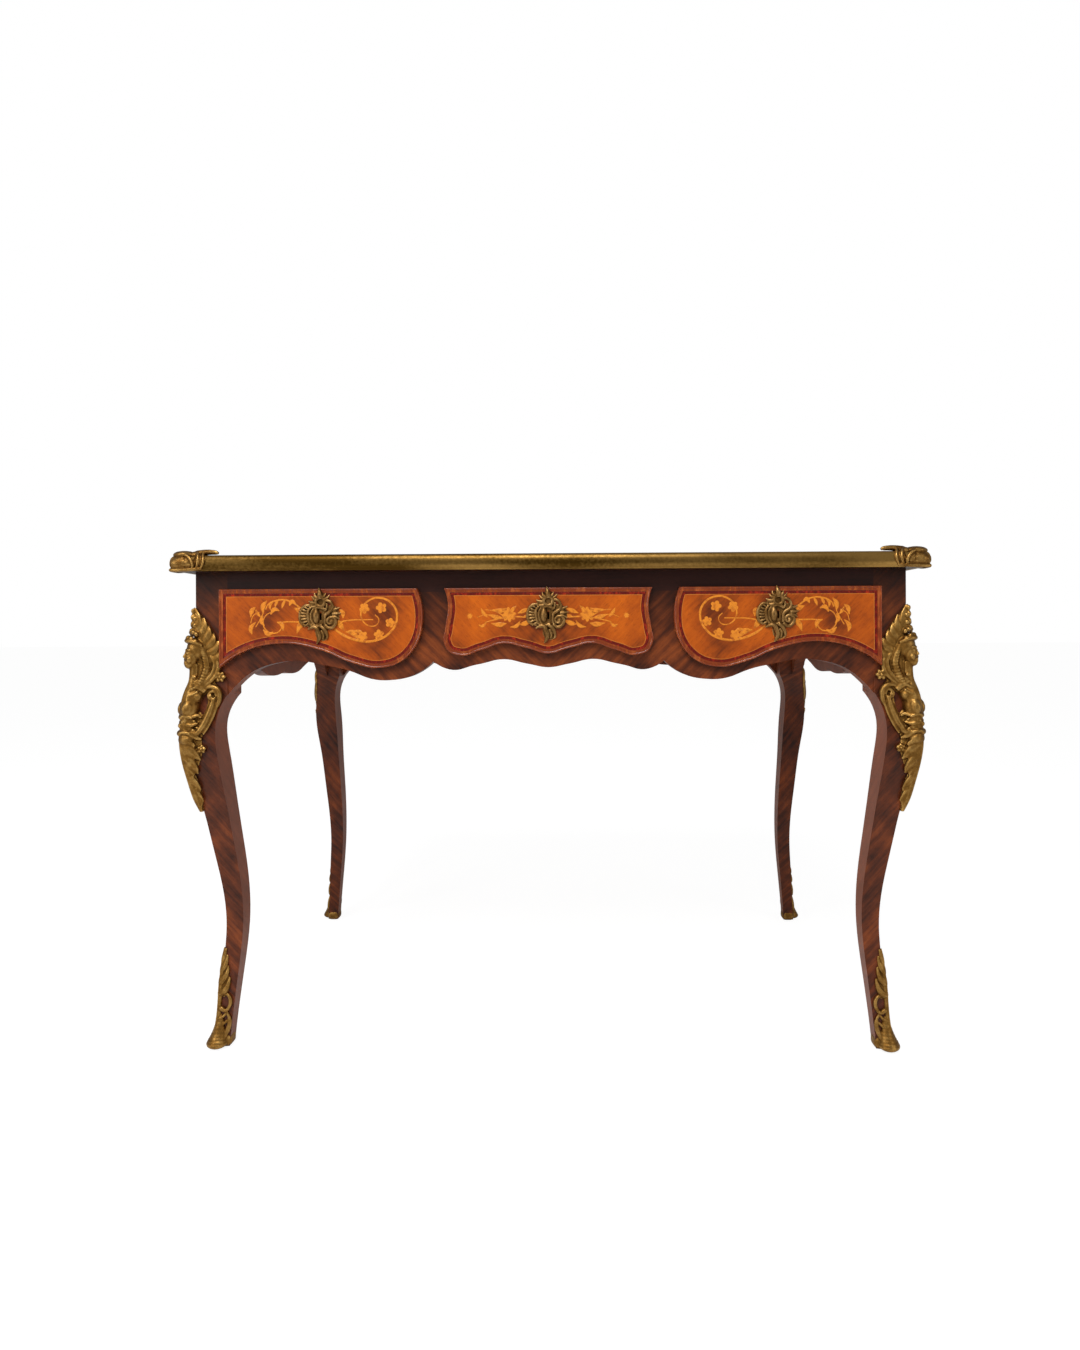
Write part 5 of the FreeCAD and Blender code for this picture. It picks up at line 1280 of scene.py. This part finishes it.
def shoe():
    """A rounded shoe that slopes to a hoof-like toe, and pierced leaves that climb the corner."""
    across, along, half, height = SHOE_CUP
    bm = bmesh.new()
    cup = bmesh.ops.create_cube(bm, size=1.0)["verts"]
    bmesh.ops.scale(bm, vec=Vector((2 * half, 2 * half, height)) * MM, verts=cup)
    bmesh.ops.translate(bm, vec=Vector((across, along, height / 2 + 0.5)) * MM, verts=cup)
    bmesh.ops.bevel(bm, geom=bm.edges[:], offset=8.5 * MM, segments=5, affect="EDGES", profile=0.5,
                    material=-1)
    rolls(bm, list(hands(SHOE_ROLLS)), on_leg)
    rolls(bm, list(hands(SHOE_PLATES)), on_leg, flat=0.24)
    rolls(bm, SHOE_SPINE, on_leg)
    beads(bm, SHOE_LUMPS, on_diagonal, 3)
    return cast("sabot", bm, 0.8, 6, mount_tones())


class TABLE_OT_shoes(bpy.types.Operator):
    """Put a bronze shoe on each foot"""
    bl_idname = "table.shoes"
    bl_label = "Shoes"

    def execute(self, context):
        four_copies(shoe(), "sabot", "gilt_bronze")
        return {"FINISHED"}


# Writing surface

# Tooled lines: distance in from the outermost, and width, in millimetres.
TOOLED_LINES = ((0.0, 1.6), (4.2, 0.7), (13.0, 0.7), (17.2, 1.6))


class TABLE_OT_leather(bpy.types.Operator):
    """Lay the leather and tool its gilt lines"""
    bl_idname = "table.leather"
    bl_label = "Leather"

    def execute(self, context):
        dress("leather_inset", finish_named(morocco))
        low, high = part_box("leather_inset")
        bm = bmesh.new()
        inset = sizes().tooling_inset
        for gap, width in TOOLED_LINES:
            reach = inset + gap * MM
            made = bmesh.ops.create_grid(bm, x_segments=1, y_segments=1, size=0.5)["verts"]
            bmesh.ops.scale(bm, vec=(high.x - low.x - 2 * reach, high.y - low.y - 2 * reach, 1), verts=made)
            bmesh.ops.translate(bm, vec=(0, 0, high.z + 0.05 * MM), verts=made)
            face = made[0].link_faces[0]
            bmesh.ops.inset_region(bm, faces=[face], thickness=width * MM, use_even_offset=True,
                                   use_boundary=True)
            bmesh.ops.delete(bm, geom=[face], context="FACES_ONLY")
        bmesh.ops.solidify(bm, geom=bm.faces[:], thickness=-0.08 * MM)
        bmesh.ops.recalc_face_normals(bm, faces=bm.faces)
        gilding = finish_named(plain_metal, "gold_leaf_tooled", tuple(palette().gilding), 0.3, 0.002)
        show("gilt_tooling", to_mesh("gilt_tooling", bm, [gilding]), "root", "gilt_bronze")
        return {"FINISHED"}


# Stage

# The floor glows by itself for this share of what the camera sees of it; the rest takes the shadow.
GLOW = 1.13
GLOW_SHARE = 0.82
SKY_LIGHT = 0.33
# Lamps: place and size in metres, and power in watts.
LAMPS = {
    "lamp_over": ((-0.5, -2.2, 2.9), 1.6, 1.2, 80),
    "lamp_left": ((-2.9, -2.5, 1.5), 1.2, 1.2, 34),
    "lamp_right": ((3.0, -2.3, 1.2), 1.0, 1.2, 16),
}
LAMP_AIM = Vector((0, 0, 0.5))


def pale_floor():
    """Matt pale paper: nearly white to the camera, and still takes the shadow."""
    material, tree, shader = begin("paper_pale")
    tree.nodes.remove(shader)
    tone = tuple(palette().backdrop)
    share = times(tree, add(tree, "LightPath").outputs["Is Camera Ray"], GLOW_SHARE)
    paper = add(tree, "BsdfDiffuse", {"Color": tone})
    glow = add(tree, "Emission", {"Color": (1.0, 1.0, 1.0, 1.0), "Strength": GLOW})
    mix = add(tree, "MixShader", {0: share, 1: paper.outputs[0], 2: glow.outputs[0]})
    tree.links.new(mix.outputs[0], tree.nodes["Material Output"].inputs["Surface"])
    return material


def lamp(name, place, width, height, power):
    """A soft rectangular lamp that looks at the table."""
    light = bpy.data.lights.new(name, "AREA")
    light.shape = "RECTANGLE"
    light.size, light.size_y = width, height
    light.energy = power
    holder = bpy.data.objects.new(name, light)
    bpy.context.scene.collection.objects.link(holder)
    holder.location = place
    holder.rotation_euler = (LAMP_AIM - Vector(place)).to_track_quat("-Z", "Y").to_euler()


# The photograph's frame, in its own pixels.
PHOTO_WIDTH = 1080
PHOTO_HEIGHT = 1350
LENS_PIXELS = 789.6
VANISHING_ACROSS = 566.3
HORIZON = 635.9
CAMERA_PLACE = (0.050, -1.5774, 0.6688)
CAMERA_TURN = 0.976
CAMERA_ROLL = 0.265
SENSOR = 36.0


class TABLE_OT_stage(bpy.types.Operator):
    """Set the floor, the lamps and the camera"""
    bl_idname = "table.stage"
    bl_label = "Stage"

    def execute(self, context):
        scene = context.scene
        bm = bmesh.new()
        bmesh.ops.create_grid(bm, x_segments=1, y_segments=1, size=60.0)
        floor = bpy.data.objects.new("floor", to_mesh("floor", bm, [pale_floor()]))
        floor.data.transform(Matrix.Translation((0, 0, CAD_BOX[0][2] - 0.3 * MM)))
        scene.collection.objects.link(floor)

        world = bpy.data.worlds.new("studio")
        scene.world = world
        world.use_nodes = True
        tree = world.node_tree
        back = tree.nodes["Background"]
        to_camera = add(tree, "LightPath").outputs["Is Camera Ray"]
        strength = span(tree, to_camera, 0.0, 1.0, SKY_LIGHT)
        plug(tree, back, {"Color": (1.0, 1.0, 1.0, 1.0), "Strength": strength})

        for name, (place, width, height, power) in LAMPS.items():
            lamp(name, place, width, height, power)

        lens = bpy.data.cameras.new("camera")
        lens.sensor_width = SENSOR
        lens.lens = LENS_PIXELS / PHOTO_HEIGHT * SENSOR
        lens.shift_x = (PHOTO_WIDTH / 2 - VANISHING_ACROSS) / PHOTO_HEIGHT
        lens.shift_y = (HORIZON - PHOTO_HEIGHT / 2) / PHOTO_HEIGHT
        camera = bpy.data.objects.new("camera", lens)
        camera.location = CAMERA_PLACE
        aim = Matrix.Rotation(math.radians(CAMERA_TURN), 4, "Z") @ Matrix.Rotation(math.radians(90), 4, "X")
        camera.rotation_euler = (aim @ Matrix.Rotation(math.radians(-CAMERA_ROLL), 4, "Z")).to_euler()
        scene.collection.objects.link(camera)
        scene.camera = camera
        scene.view_settings.view_transform = "Standard"
        return {"FINISHED"}


OPERATORS = (
    TABLE_OT_carcass, TABLE_OT_drawer_fronts, TABLE_OT_marquetry, TABLE_OT_edge, TABLE_OT_clasps,
    TABLE_OT_escutcheons, TABLE_OT_knee_mounts, TABLE_OT_shoes, TABLE_OT_leather, TABLE_OT_stage,
)


class TABLE_PT_panel(bpy.types.Panel):
    """The table's pieces"""
    bl_idname = "TABLE_PT_panel"
    bl_label = "Writing table"
    bl_space_type = "VIEW_3D"
    bl_region_type = "UI"
    bl_category = "Table"

    def draw(self, context):
        for group in (context.scene.table_sizes, context.scene.table_colours):
            column = self.layout.column()
            for name in group.__annotations__:
                column.prop(group, name)
        for operator in OPERATORS:
            self.layout.operator(operator.bl_idname)


CLASSES = (TableColours, TableSizes, *OPERATORS, TABLE_PT_panel)


def register():
    for item in CLASSES:
        bpy.utils.register_class(item)
    bpy.types.Scene.table_colours = PointerProperty(type=TableColours)
    bpy.types.Scene.table_sizes = PointerProperty(type=TableSizes)


def unregister():
    del bpy.types.Scene.table_sizes
    del bpy.types.Scene.table_colours
    for item in reversed(CLASSES):
        bpy.utils.unregister_class(item)


def main():
    register()
    for operator in OPERATORS:
        group, name = operator.bl_idname.split(".")
        getattr(getattr(bpy.ops, group), name)()


if __name__ == "__main__":
    main()
